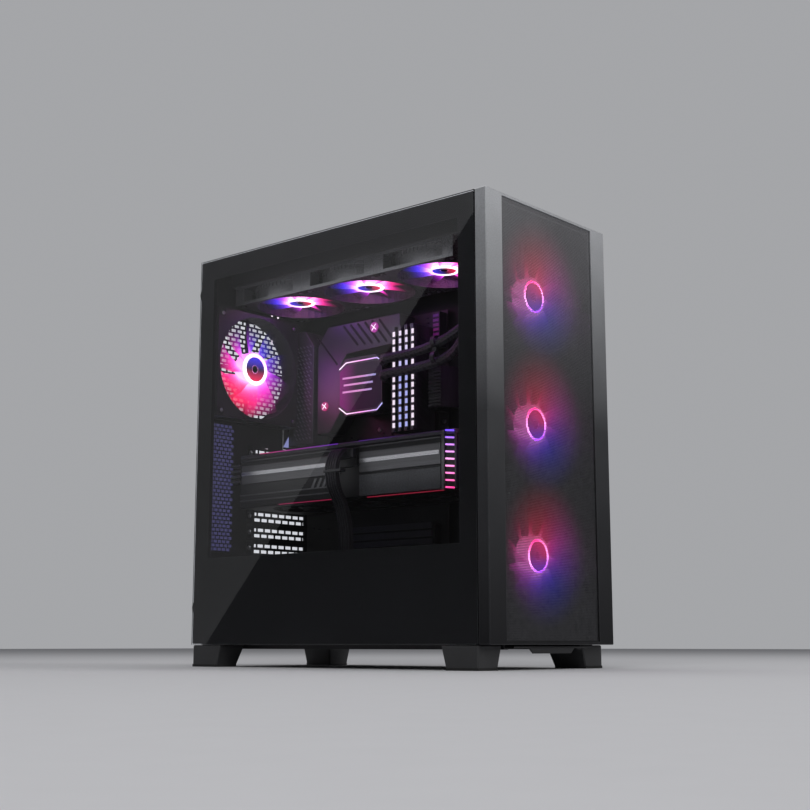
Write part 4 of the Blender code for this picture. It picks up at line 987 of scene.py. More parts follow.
def row_of_blocks(
    name: str, body: str, slot: str, finish: bpy.types.Material, start: Point, size: Point, count: int, step: Point,
    rows: int = 1, row_step: Point = (0.0, 0.0, 0.0), shift: Point = (0.0, 0.0, 0.0), turn: Point = (0.0, 0.0, 0.0),
) -> bpy.types.Object:
    """Equal blocks in rows, each second row shifted, as one piece.

    Args:
        name: the piece's name.
        body: the body it moves with.
        slot: the record's material slot; not used.
        finish: its material.
        start: the middle of the first block.
        size: one block's size.
        count: how many blocks a row has.
        step: the way from one block to the next.
        rows: how many rows there are.
        row_step: the way from one row to the next.
        shift: how far each second row is moved.
        turn: how each block is turned, in radians about each axis.

    Returns:
        The new object.
    """
    return RECIPES.array.make(
        name, body, slot, finish, Start=start, Size=size, Turn=turn, Count=count, Step=step, Rows=rows,
        Row_Step=row_step, Shift=shift,
    )


def points_mesh(name: str, points: list) -> bpy.types.Mesh:
    """A mesh of loose points."""
    mesh = bpy.data.meshes.new(name)
    mesh.from_pydata([tuple(point) for point in points], [], [])
    return mesh


def plane_mesh(name: str, axis: Axis, along: float, a: tuple, b: tuple) -> bpy.types.Mesh:
    """A mesh of one rectangle across an axis."""
    mesh = bpy.data.meshes.new(name)
    mesh.from_pydata([place(axis, along, p, q) for p, q in rectangle(a, b)], [], [(0, 1, 2, 3)])
    return mesh


def path_curve(name: str, points: list, count: int) -> bpy.types.Curve:
    """A smooth open curve through points."""
    path = smooth_points([Vector(point) for point in points], count)
    curve = bpy.data.curves.new(name, "CURVE")
    curve.dimensions = "3D"
    spline = curve.splines.new("POLY")
    spline.points.add(len(path) - 1)
    for point, where in zip(spline.points, path):
        point.co = (*where, 1.0)
    return curve


def smooth_points(points: list, count: int) -> list:
    """Evenly stepped points on a smooth line through the given ones."""
    ends = [points[0] * 2 - points[1], *points, points[-1] * 2 - points[-2]]
    spans = len(points) - 1
    path = []
    for step in range(count):
        where = spans * step / (count - 1)
        i = min(int(where), spans - 1)
        t = where - i
        p0, p1, p2, p3 = ends[i : i + 4]
        curve = (2 * p0 - 5 * p1 + 4 * p2 - p3) * t**2 + (3 * p1 - p0 - 3 * p2 + p3) * t**3
        path.append(0.5 * (2 * p1 + (p2 - p0) * t + curve))
    return path


# ---- the frame's own places -----------------------------------------------------------------


def span(node: str, axis: Axis) -> tuple[float, float]:
    """A CAD node's low and high limits on one axis."""
    low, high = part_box(node)
    return (low[axis.value], high[axis.value])


def centre_of(node: str) -> Vector:
    """The middle of a CAD node's box."""
    low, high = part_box(node)
    return (low + high) / 2


@dataclass(frozen=True)
class Datum:
    """The case's front face, lower edge and side faces, that every place is counted from."""

    front: float
    base: float
    left: float
    right: float
    top: float

    def depth(self, millimetres: float) -> float:
        """A distance back from the front face."""
        return self.front + millimetres * MM

    def level(self, millimetres: float) -> float:
        """A height above the body's lower edge."""
        return self.base + millimetres * MM

    def at(self, x: float, depth: float, level: float) -> Point:
        """A point from millimetres across, back and up."""
        return (x * MM, self.depth(depth), self.level(level))

    def depths(self, low: float, high: float) -> tuple[float, float]:
        """Two distances back from the front face."""
        return (self.depth(low), self.depth(high))

    def levels(self, low: float, high: float) -> tuple[float, float]:
        """Two heights above the lower edge."""
        return (self.level(low), self.level(high))


def measure_datum() -> Datum:
    """Reads the case's faces from the front cover's box."""
    low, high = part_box("front_panel")
    return Datum(low.y, low.z, low.x, high.x, high.z)


DATUM = measure_datum()
CHASSIS = "chassis"


# ---- shared finishes ------------------------------------------------------------------------


class Finishes:
    """Every finish that more than one sub-assembly uses."""

    def __init__(self) -> None:
        """Builds the materials."""
        steel = (0.02, 0.02, 0.0225)
        self.case = Coated("case_coat", steel, 0.5, 0.3, wear=0.35, dust=0.2).build()
        self.inside = Coated("inside_coat", (0.006, 0.006, 0.007), 0.55, 0.2, dust=0.05).build()
        # The front strips: painted light at the top running to painted shade at the foot.
        self.front = CoatWithPaintedLight("front_strip_painted_light", DATUM.base, DATUM.top).build()
        self.mesh = Coated("mesh_coat", (0.022, 0.022, 0.026), 0.5, 0.3, bead=1500.0, contrast=0.3).build()
        # The front mesh: painted light from top to foot and a painted glow of the three front fans behind it.
        self.front_mesh = CoatWithPaintedLight(
            "front_mesh_painted_light_and_glow", DATUM.base, DATUM.top, (0.005, 0.005, 0.006), (0.02, 0.02, 0.022), (0.2, 0.2, 0.21),
            lights=tuple(DATUM.at(-14, 2, z) for z in (97, 242, 387)),
        ).build()
        # The border print's enamel with a painted sheen: lighter at the top, darker at the foot.
        self.enamel = CoatWithPaintedLight(
            "border_enamel_painted_sheen", DATUM.base, DATUM.top, (0.015, 0.015, 0.016), (0.018, 0.018, 0.019),
            (0.048, 0.048, 0.051), 0.0,
        ).build()
        self.glass = Clear("side_glass").build()
        self.plastic = Coated("black_plastic", (0.012, 0.012, 0.014), 0.42, bead=1200.0, dust=0.1).build()
        # Lighter grey than the other fans' black plastic: a painted sheen that stands for the highlights on the top
        # fans' glossy ducts.
        self.fan = Coated("fan_plastic", (0.075, 0.075, 0.082), 0.28, 0.5, bead=800.0, wear=0.5, dust=0.1).build()
        self.dark_fan = Coated(
            "dark_fan_plastic", (0.012, 0.012, 0.014), 0.36, bead=800.0, wear=0.2, dust=0.1,
        ).build()
        self.rubber = Coated("black_rubber", (0.011, 0.011, 0.011), 0.85, bead=700.0, dust=0.3).build()
        self.foot = Coated(
            "foot_plastic", (0.03, 0.03, 0.032), 0.55, bead=600.0, depth=0.08 * MM, wear=0.15,
        ).build()
        self.screw = Brushed("screw_steel", (0.32, 0.32, 0.34), 0.3, 1.0).build()
        self.black_screw = Coated("black_screw", (0.02, 0.02, 0.022), 0.35, 0.7).build()
        self.sink = Brushed("dark_sink", (0.12, 0.115, 0.13), 0.38, 0.85, Axis.Z).build()
        self.card = Brushed("card_metal", (0.13, 0.13, 0.135), 0.4, 0.8, Axis.Y).build()
        self.bright = Brushed("bright_metal", (0.55, 0.55, 0.57), 0.28, 1.0, Axis.Y).build()
        self.board = Board("solder_mask").build()
        self.tube = Braid("tube_braid", (0.02, 0.02, 0.022)).build()
        self.sleeve = Braid("cable_braid", (0.009, 0.008, 0.011), 0.8 * MM).build()
        self.gold = Brushed("gold_contact", (0.6, 0.42, 0.16), 0.3, 1.0).build()
        # Near black: the own colour of the mesh clips and the fans' hub caps, and painted shade in the holes, slots
        # and grooves it fills.
        self.void = Coated("black_and_painted_hollow_shade", (0.002, 0.002, 0.002), 0.9, contrast=0.2, dust=0.0).build()


FINISH = Finishes()


def dress(node: str, finish: bpy.types.Material, smooth: bool = False) -> None:
    """Gives a CAD node a finish in place of its own."""
    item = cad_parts[node]
    item.data.materials.clear()
    item.data.materials.append(finish)
    if smooth:
        item.data.shade_smooth()
        item.data.set_sharp_from_angle(angle=math.radians(35))
    LOG.info("%s: dressed in %s", node, finish.name)


# ---- covers ---------------------------------------------------------------------------------


@dataclass
class FrontCover:
    """The front: two plain strips, the fine mesh between them and the clips that hold it."""

    pitch: float = 1.7 * MM
    wire: float = 0.78 * MM
    thick: float = 0.3 * MM
    body: str = "front_cover"

    def build(self) -> None:
        """Dresses the strips and weaves the mesh."""
        dress("front_panel", FINISH.front)
        low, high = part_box("front_mesh")
        middle = (low + high) / 2
        size = high - low
        across, upward = int(size.x / self.pitch), int(size.z / self.pitch)
        upright = self.wires(
            "front_mesh_weave", (low.x + self.pitch / 2, middle.y, middle.z), (self.wire, self.thick, size.z),
            across, (self.pitch, 0.0, 0.0),
        )
        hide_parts("front_mesh")
        self.wires(
            "front_mesh_level_wires", (middle.x, middle.y, low.z + self.pitch / 2),
            (size.x, self.thick * 0.9, self.wire), upward, (0.0, 0.0, self.pitch),
        )
        self.rim((low.x, high.x), (low.z, high.z), (low.y, high.y))
        self.clips(low.x, high.y)

    def wires(self, name: str, start: Point, size: Point, count: int, step: Point) -> bpy.types.Object:
        """One direction of the mesh's wires.

        Args:
            name: the piece's name.
            start: the middle of the first wire.
            size: one wire's size.
            count: how many wires there are.
            step: the way from one wire to the next.

        Returns:
            The wires as one piece.
        """
        return row_of_blocks(name, self.body, "mesh_steel", FINISH.front_mesh, start, size, count, step)

    def rim(self, x: tuple, z: tuple, y: tuple) -> None:
        """The plain edge that is folded round the mesh."""
        edge = 3 * MM
        outer = rectangle(x, z)
        inner = rectangle((x[0] + edge, x[1] - edge), (z[0] + edge, z[1] - edge))
        Shape().hoop(outer, inner, Axis.Y, y[0] + 0.1 * MM, y[1]).piece(
            "front_mesh_rim", self.body, "mesh_steel", FINISH.front_mesh,
        )

    def clips(self, left: float, y: float) -> None:
        """Six clips behind the mesh's side edges."""
        shape = Shape()
        for level in (386.8, 189.0, 66.2):
            for side in (-1, 1):
                middle = side * (-left - 13 * MM)
                z = DATUM.level(level)
                shape.block(about(middle, 7 * MM), (y + 0.2 * MM, y + 4 * MM), about(z, 9 * MM))
                shape.block(about(middle - side * 5 * MM, 3 * MM), (y + 0.2 * MM, y + 7 * MM), about(z, 4 * MM))
        shape.piece("front_mesh_clips", self.body, "black_plastic", FINISH.void, 0.8 * MM)


@dataclass
class GlassSide:
    """The glass side: the clear pane, the printed border behind it and the steel carrier."""

    border: float = 0.2 * MM
    setback: float = 0.05 * MM
    body: str = "glass_door"

    def build(self) -> None:
        """Dresses the pane and carrier and prints the border."""
        dress("glass_panel", FINISH.glass)
        dress("glass_panel_frame", FINISH.inside)
        low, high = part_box("glass_panel")
        outer = rectangle((low.y + MM, high.y - MM), (low.z + MM, high.z - MM))
        inner = rectangle(DATUM.depths(40.0, 434.0), DATUM.levels(104.0, 455.5))
        back = high.x + self.setback
        # the printed border carries a painted sheen, lighter at the top
        Shape().hoop(outer, inner, Axis.X, back, back + self.border).piece(
            "glass_border_print", self.body, "tinted_glass", FINISH.enamel,
        )


@dataclass
class OuterShell:
    """The steel side, roof, floor, filters and feet."""

    weave: float = 2.6 * MM

    def build(self) -> None:
        """Dresses the outer nodes and adds the filters' nets, foot pads and control rings."""
        for node in ("right_panel", "top_frame", "chassis_floor"):
            dress(node, FINISH.case)
        for node in ("power_button", "reset_button"):
            dress(node, FINISH.bright, smooth=True)
        dress("front_io_board", FINISH.plastic)
        self.filter("top_filter", "roof_filter", 5 * MM)
        self.filter("bottom_filter", "floor_filter", 6 * MM)
        self.feet()
        self.controls()
        self.right_screws()

    def filter(self, node: str, body: str, edge: float) -> None:
        """A dust filter: a moulded rim, cross bars and a fine net.

        Args:
            node: the CAD filter it dresses or stands for.
            body: the body it moves with.
            edge: the rim's width.
        """
        low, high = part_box(node)
        x, y = (low.x, high.x), (low.y, high.y)
        z = (high.z - 1.2 * MM, high.z) if node == "top_filter" else (high.z - 2 * MM, high.z)
        middle = (z[0] + z[1]) / 2
        frame_shape = Shape()
        inner = rectangle((x[0] + edge, x[1] - edge), (y[0] + edge, y[1] - edge))
        frame_shape.hoop(rectangle(x, y), inner, Axis.Z, *z)
        for i in range(1, 4):
            bar = y[0] + (y[1] - y[0]) * i / 4
            frame_shape.block(
                (x[0] + edge / 2, x[1] - edge / 2), about(bar, 1.5 * MM), (z[0] + 0.1 * MM, z[1] - 0.1 * MM),
            )
        if node == "bottom_filter":
            wide, narrow = 43 * MM, 35 * MM
            tab = [(-wide, middle), (wide, middle), (narrow, low.z), (-narrow, low.z)]
            frame_shape.prism(tab, Axis.Y, y[0], y[0] + 2 * MM)
        rim = frame_shape.piece(node + "_rim", body, "black_plastic", FINISH.plastic, 0.3 * MM, 1)
        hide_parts(node)
        for label, size, step, count, start in (
            (
                "long", (0.7 * MM, y[1] - y[0] - edge, 0.35 * MM), (self.weave, 0, 0),
                int((x[1] - x[0]) / self.weave) - 2, (x[0] + 1.5 * self.weave, (y[0] + y[1]) / 2, middle),
            ),
            (
                "cross", (x[1] - x[0] - edge, 0.7 * MM, 0.3 * MM), (0, self.weave, 0),
                int((y[1] - y[0]) / self.weave) - 2, ((x[0] + x[1]) / 2, y[0] + 1.5 * self.weave, middle),
            ),
        ):
            row_of_blocks(
                f"{node}_net_{label}", body, "black_plastic", FINISH.mesh, start=start, size=size, count=count,
                step=step,
            )

    def feet(self) -> None:
        """Dresses the feet and adds a soft pad round the bottom of each."""
        for end in ("front", "rear"):
            for side in ("left", "right"):
                node = f"foot_{end}_{side}"
                dress(node, FINISH.foot)
                low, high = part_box(node)
                outer_x = low.x if side == "left" else high.x
                inner_x = outer_x + (32.5 * MM if side == "left" else -32.5 * MM)
                outer_y = low.y if end == "front" else high.y
                inner_y = outer_y + (42 * MM if end == "front" else -42 * MM)
                x, y = sorted((outer_x, inner_x)), sorted((outer_y, inner_y))
                grow = 0.3 * MM
                outer = rectangle((x[0] - grow, x[1] + grow), (y[0] - grow, y[1] + grow))
                inner = rectangle((x[0] + 4 * MM, x[1] - 4 * MM), (y[0] + 4 * MM, y[1] - 4 * MM))
                Shape().hoop(outer, inner, Axis.Z, 0.0, 3 * MM).piece(
                    node + "_pad", CHASSIS, "black_rubber", FINISH.rubber, 0.5 * MM,
                )

    def controls(self) -> None:
        """A thin ring round each button and the tongue and shell of each data socket."""
        rings = Shape()
        roof = span("top_frame", Axis.Z)[1]
        for node in ("power_button", "reset_button"):
            middle = centre_of(node)
            radius = (span(node, Axis.X)[1] - span(node, Axis.X)[0]) / 2 + 0.9 * MM
            profile = [
                (radius, roof), (radius, roof + 0.4 * MM), (radius + 0.9 * MM, roof + 0.4 * MM),
                (radius + 0.9 * MM, roof),
            ]
            rings.turned(profile, Axis.Z, (middle.x, middle.y), 32)
        rings.piece("button_rings", CHASSIS, "button_metal", FINISH.bright)
        sockets, tongues = Shape(), Shape()
        y = centre_of("power_button").y
        for x in (-4 * MM, -24 * MM):
            outer = rectangle(about(x, 6.6 * MM), about(y, 2.9 * MM))
            inner = rectangle(about(x, 6.2 * MM), about(y, 2.5 * MM))
            sockets.hoop(outer, inner, Axis.Z, roof - 11 * MM, roof + 0.2 * MM)
            tongues.block(about(x, 5.4 * MM), (y + 0.2 * MM, y + 2.0 * MM), (roof - 11 * MM, roof - 2 * MM))
        sockets.piece("data_socket_shells", CHASSIS, "bracket_steel", FINISH.bright)
        tongues.piece("data_socket_tongues", CHASSIS, "black_plastic", FINISH.plastic)

    def right_screws(self) -> None:
        """The steel side's two thumbscrews, knurled, through the ears at the rear."""
        head = DATUM.depth(457.7)
        shape = Shape()
        knurls = []
        for level in (45.0, 440.0):
            centre = (DATUM.right - 10.5 * MM, DATUM.level(level))
            shape.turned(
                [
                    (0, head), (5.6 * MM, head), (5.6 * MM, head + 4.6 * MM), (5.0 * MM, head + 5.1 * MM),
                    (0, head + 5.1 * MM),
                ],
                Axis.Y, centre, 24,
            )
            knurls.append(centre)
        shape.piece("side_thumbscrews", CHASSIS, "screw_steel", FINISH.black_screw)
        for i, centre in enumerate(knurls):
            knurl(f"side_thumbscrew_knurl_{i + 1}", CHASSIS, centre, head + 2.4 * MM)


def knurl(name: str, body: str, centre: tuple, y: float) -> bpy.types.Object:
    """The ridged rim of a thumbscrew's head."""
    return RECIPES.ring.make(
        name, body, "screw_steel", FINISH.black_screw, Count=28, Radius=5.6 * MM,
        Size=(0.7 * MM, 0.7 * MM, 3.8 * MM), Centre=(centre[0], y, centre[1]), Tilt=(math.pi / 2, 0.0, 0.0),
    )


# ---- rear -----------------------------------------------------------------------------------


@dataclass
class RearWall:
    """The rear: fan grille, slot covers, port plate, vents, supply face and thumbscrews."""

    brick: tuple = (10.2 * MM, 4.1 * MM)
    brick_pitch: float = 12.5 * MM
    row_pitch: float = 7.4 * MM

    def build(self) -> None:
        """Dresses the wall and adds all that stands in it."""
        dress("rear_wall", FINISH.inside)
        self.wall = span("rear_wall", Axis.Y)
        self.grille()
        self.slot_covers()
        self.ports()
        self.vents()
        self.supply()
        self.thumbscrews()

    def grille(self) -> None:
        """The brick-work grille in the fan hole, cut to a circle."""
        centre = centre_of("rear_fan_rotor")
        radius = 67.5 * MM
        pitch_x, pitch_z, web_x, web_z = 10.4 * MM, 6.0 * MM, 2.6 * MM, 2.2 * MM
        y = (self.wall[1] - 0.8 * MM, self.wall[1] - 0.1 * MM)
        shape = Shape()
        rows = int(radius / pitch_z)
        for row in range(-rows, rows + 1):
            z = centre.z + row * pitch_z
            half = math.sqrt(max(radius**2 - (row * pitch_z) ** 2, 0))
            shape.block(about(centre.x, half), y, about(z, web_z / 2))
            middle = z + pitch_z / 2
            reach = math.sqrt(max(radius**2 - ((row + 0.5) * pitch_z) ** 2, 0))
            shift = pitch_x / 2 if row % 2 else 0.0
            count = int(2 * radius / pitch_x) + 2
            for i in range(count):
                x = centre.x - radius + shift + i * pitch_x
                if abs(x - centre.x) < reach - web_x / 2:
                    shape.block(about(x, web_x / 2), y, about(middle, (pitch_z - web_z) / 2 + 0.05 * MM))
        shape.piece("rear_fan_grille", CHASSIS, "coated_steel", FINISH.inside)

    def slot_covers(self) -> None:
        """The four slot covers, each pierced by two rows of bricks, and their screws."""
        screws = []
        for i in range(1, 5):
            node = f"slot_cover_{i}"
            low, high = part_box(node)
            y = (high.y - MM, high.y)
            middle = (low.z + high.z) / 2
            x0, x1 = low.x + 13.5 * MM, high.x - 7 * MM
            shape = Shape()
            shape.block((low.x, x0), y, (low.z, high.z))
            shape.block((x1, high.x), y, (low.z, high.z))
            shape.block((low.x, low.x + MM), (low.y, y[0] + 0.2 * MM), (low.z, high.z))
            web = (self.row_pitch - self.brick[1]) / 2
            for z in (
                (low.z, middle - self.row_pitch / 2 - self.brick[1] / 2), about(middle, web),
                (middle + self.row_pitch / 2 + self.brick[1] / 2, high.z),
            ):
                shape.block((x0 - 0.1 * MM, x1 + 0.1 * MM), y, z)
            for row, shift in ((-1, 0.0), (1, self.brick_pitch / 2)):
                z = about(middle + row * self.row_pitch / 2, self.brick[1] / 2 + 0.05 * MM)
                for k in range(8):
                    left = x0 + k * self.brick_pitch - shift + self.brick[0]
                    right = left + self.brick_pitch - self.brick[0]
                    if right > x0 and left < x1:
                        shape.block((max(left, x0 - 0.1 * MM), min(right, x1 + 0.1 * MM)), y, z)
            item = shape.piece(node + "_pierced", CHASSIS, "coated_steel", FINISH.inside)
            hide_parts(node)
            screws.append((low.x + 1.5 * MM, low.y + 5 * MM, middle))
        for level in range(3):
            low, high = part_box("gpu_bracket")
            screws.append((low.x - 0.2 * MM, low.y + 5 * MM, low.z + 9.2 * MM + level * 20.32 * MM))
        tilt = (0.0, -math.pi / 2, 0.0)
        places = [(x - 1.6 * MM, y, z) for x, y, z in screws]
        RECIPES.screws.make(
            "slot_screws", CHASSIS, "screw_steel", FINISH.screw, points_mesh("slot_points", places), Radius=3 * MM,
            Height=1.4 * MM, Tilt=tilt,
        )

    def ports(self) -> None:
        """The board's port plate and its sockets, and the card's outputs."""
        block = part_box("motherboard")
        y_out = span("rear_wall", Axis.Y)[1]
        inside = block[1].y
        x = (35.5 * MM, 78 * MM)
        z = DATUM.levels(256.2, 413.5)
        plate = (inside + 0.05 * MM, inside + 0.4 * MM)
        Shape().block(x, plate, z).piece(
            "port_plate", CHASSIS, "bracket_steel",
            Brushed("port_plate_metal", (0.1, 0.1, 0.105), 0.4, 0.9, Axis.Z).build(), 0.1 * MM, 1,
        )
        shells, holes, jacks = Shape(), Shape(), Shape()
        out = plate[1]
        for row in range(5):
            level = DATUM.level(276 + row * 17.5)
            for column in (48.5, 64.5):
                centre = column * MM
                shells.hoop(
                    rectangle(about(centre, 6.8 * MM), about(level, 3.4 * MM)),
                    rectangle(about(centre, 6.2 * MM), about(level, 2.8 * MM)), Axis.Y, out - 0.1 * MM,
                    out + 0.7 * MM,
                )
                holes.block(about(centre, 6.2 * MM), (out, out + 0.15 * MM), about(level, 2.8 * MM))
        for level in (366.0, 384.0):
            shells.hoop(
                rectangle(about(56 * MM, 8.5 * MM), about(DATUM.level(level), 7 * MM)),
                rectangle(about(56 * MM, 7.6 * MM), about(DATUM.level(level), 6.1 * MM)), Axis.Y, out - 0.1 * MM,
                out + 0.8 * MM,
            )
            holes.block(about(56 * MM, 7.6 * MM), (out, out + 0.15 * MM), about(DATUM.level(level), 6.1 * MM))
        for column in (45.0, 56.0, 67.0):
            centre = (column * MM, DATUM.level(402.0))
            jacks.turned(
                [(1.9 * MM, out), (1.9 * MM, out + 0.9 * MM), (4.2 * MM, out + 0.9 * MM), (4.2 * MM, out)], Axis.Y,
                centre, 24,
            )
        bracket = span("gpu_bracket", Axis.Z)
        edge = y_out - 2.2 * MM
        for k in range(4):
            centre = (-4 * MM + k * 19 * MM, bracket[1] - 10 * MM)
            shells.hoop(
                rectangle(about(centre[0], 8 * MM), about(centre[1], 2.8 * MM)),
                rectangle(about(centre[0], 7.2 * MM), about(centre[1], 2.1 * MM)), Axis.Y, edge, edge + 1.6 * MM,
            )
            holes.block(about(centre[0], 7.3 * MM), (edge + 0.2 * MM, edge + 0.9 * MM), about(centre[1], 2.2 * MM))
        shells.piece("port_shells", CHASSIS, "bracket_steel", FINISH.bright)
        # the sockets' hollows are dark blocks of painted shade
        holes.piece("port_hollows", CHASSIS, "black_plastic", FINISH.void)
        jacks.piece("audio_jacks", CHASSIS, "bracket_steel", FINISH.gold)
        dress("gpu_bracket", FINISH.screw)
        # the bracket's vent slots are dark blocks of painted shade
        row_of_blocks(
            "bracket_vents", CHASSIS, "black_plastic", FINISH.void,
            start=(-18 * MM, DATUM.depth(454.9), DATUM.level(183.0)), size=(3.0 * MM, 0.3 * MM, 8.5 * MM), count=19,
            step=(5 * MM, 0.0, 0.0), rows=2, row_step=(0.0, 0.0, 20.3 * MM),
        )

    def vents(self) -> None:
        """The brick-work vent strip beside the slots, seen from both sides of the wall, with painted violet light
        on its inner face and painted shade in its holes on the outer face; a painted glint on the port window's
        corner and small holes that glow with painted light.
        """
        size, pitch, rows = (5.1 * MM, 0.3 * MM, 3.4 * MM), 7.0 * MM, 33
        inside = DATUM.depth(454.9)
        # painted violet light on the inner bricks; the outer bricks are dark blocks of painted shade
        lit = Lamp(
            "vent_painted_violet_light", (1, 0, 0), -112 * MM, -54 * MM, Light.DUSK, Light.DUSK, Light.DUSK, 0.3, 0.5, 0.02,
        ).build()
        for name, y, finish in (
            ("vent_bricks_inner", inside, lit), ("vent_bricks_outer", self.wall[1] + 0.02 * MM, FINISH.void),
        ):
            row_of_blocks(
                name, CHASSIS, "coated_steel", finish, start=(-101.5 * MM, y, DATUM.level(118.0)), size=size,
                count=7, step=(pitch, 0.0, 0.0), rows=rows, row_step=(0.0, 0.0, 4.9 * MM),
                shift=(pitch / 2, 0.0, 0.0),
            )
        corner = [(x * MM, DATUM.level(z)) for x, z in ((35.0, 259.2), (44.6, 259.2), (44.6, 273.8))]
        # a painted glint on the corner of the port window
        glint = Lamp(
            "window_glint", (0, 0, 1), *DATUM.levels(258, 275), Light.ICE, Light.ICE, Light.ICE, 0.6, 0.2, 0.05,
        ).build()
        Shape().prism(corner, Axis.Y, inside - 0.3 * MM, inside).piece(
            "port_window_glint", CHASSIS, "coated_steel", glint,
        )
        slits = Shape()
        for x, z, half in ((11.0, 402.5, 7.2), (-95.0, 431.3, 6.0)):
            slits.block(
                about(x * MM, 0.8 * MM), (inside - 0.4 * MM, inside + 0.1 * MM), about(DATUM.level(z), half * MM),
            )
        for x, z in ((10.2, 434.3), (21.3, 433.6), (-10.6, 250.6), (1.9, 252.0), (5.5, 252.3)):
            slits.turned(
                [(0, inside - 0.4 * MM), (1.6 * MM, inside - 0.4 * MM), (1.6 * MM, inside), (0, inside)], Axis.Y,
                (x * MM, DATUM.level(z)), 12,
            )
        # small holes in the wall that glow with painted light
        pale = Lamp(
            "wall_holes_painted_light", (0, 0, 1), *DATUM.levels(0, 480), Light.WHITE, Light.WHITE, Light.WHITE, 1.2,
        ).build()
        slits.piece("rear_wall_holes", CHASSIS, "coated_steel", pale)

    def supply(self) -> None:
        """The supply's rear face: a honeycomb of slots, the inlet's pins and a rocker switch."""
        dress("psu_body", FINISH.plastic)
        low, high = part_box("psu_body")
        y = high.y
        middle_z = (low.z + high.z) / 2
        # the supply's vent slots are dark blocks of painted shade
        row_of_blocks(
            "supply_vent", CHASSIS, "radiator_paint", FINISH.void,
            start=(low.x + 12 * MM, y + 0.06 * MM, low.z + 11 * MM), size=(4.2 * MM, 0.2 * MM, 3.4 * MM), count=15,
            step=(5.6 * MM, 0.0, 0.0), rows=14, row_step=(0.0, 0.0, 4.9 * MM), shift=(2.8 * MM, 0.0, 0.0),
        )
        inlet_x = (low.x + high.x) / 2 + 44 * MM
        pins = Shape()
        for dx, dz in ((-7, 2.5), (7, 2.5), (0, -3)):
            pins.block(
                about(inlet_x + dx * MM, 1.1 * MM), (y - 15 * MM, y - 3 * MM), about(middle_z + dz * MM, 2.4 * MM),
            )
        pins.piece("inlet_pins", CHASSIS, "bracket_steel", FINISH.bright)
        rocker = Shape()
        rocker.block(about(inlet_x, 9 * MM), (y + 0.02 * MM, y + 0.7 * MM), about(middle_z + 22 * MM, 6.5 * MM))
        rocker.block(about(inlet_x, 7.6 * MM), (y + 0.6 * MM, y + 1.5 * MM), about(middle_z + 24.4 * MM, 2.6 * MM))
        rocker.piece("supply_switch", CHASSIS, "black_plastic", FINISH.plastic, 0.3 * MM)

    def thumbscrews(self) -> None:
        """Dresses the two turning thumbscrews and gives each its knurled rim."""
        for name, body in (("thumbscrew_lower", "thumbscrew_low"), ("thumbscrew_upper", "thumbscrew_high")):
            dress(name, FINISH.black_screw, smooth=True)
            middle = centre_of(name)
            knurl(name + "_knurl", body, (middle.x, middle.z), span(name, Axis.Y)[1] - 2.6 * MM)


# ---- fans -----------------------------------------------------------------------------------


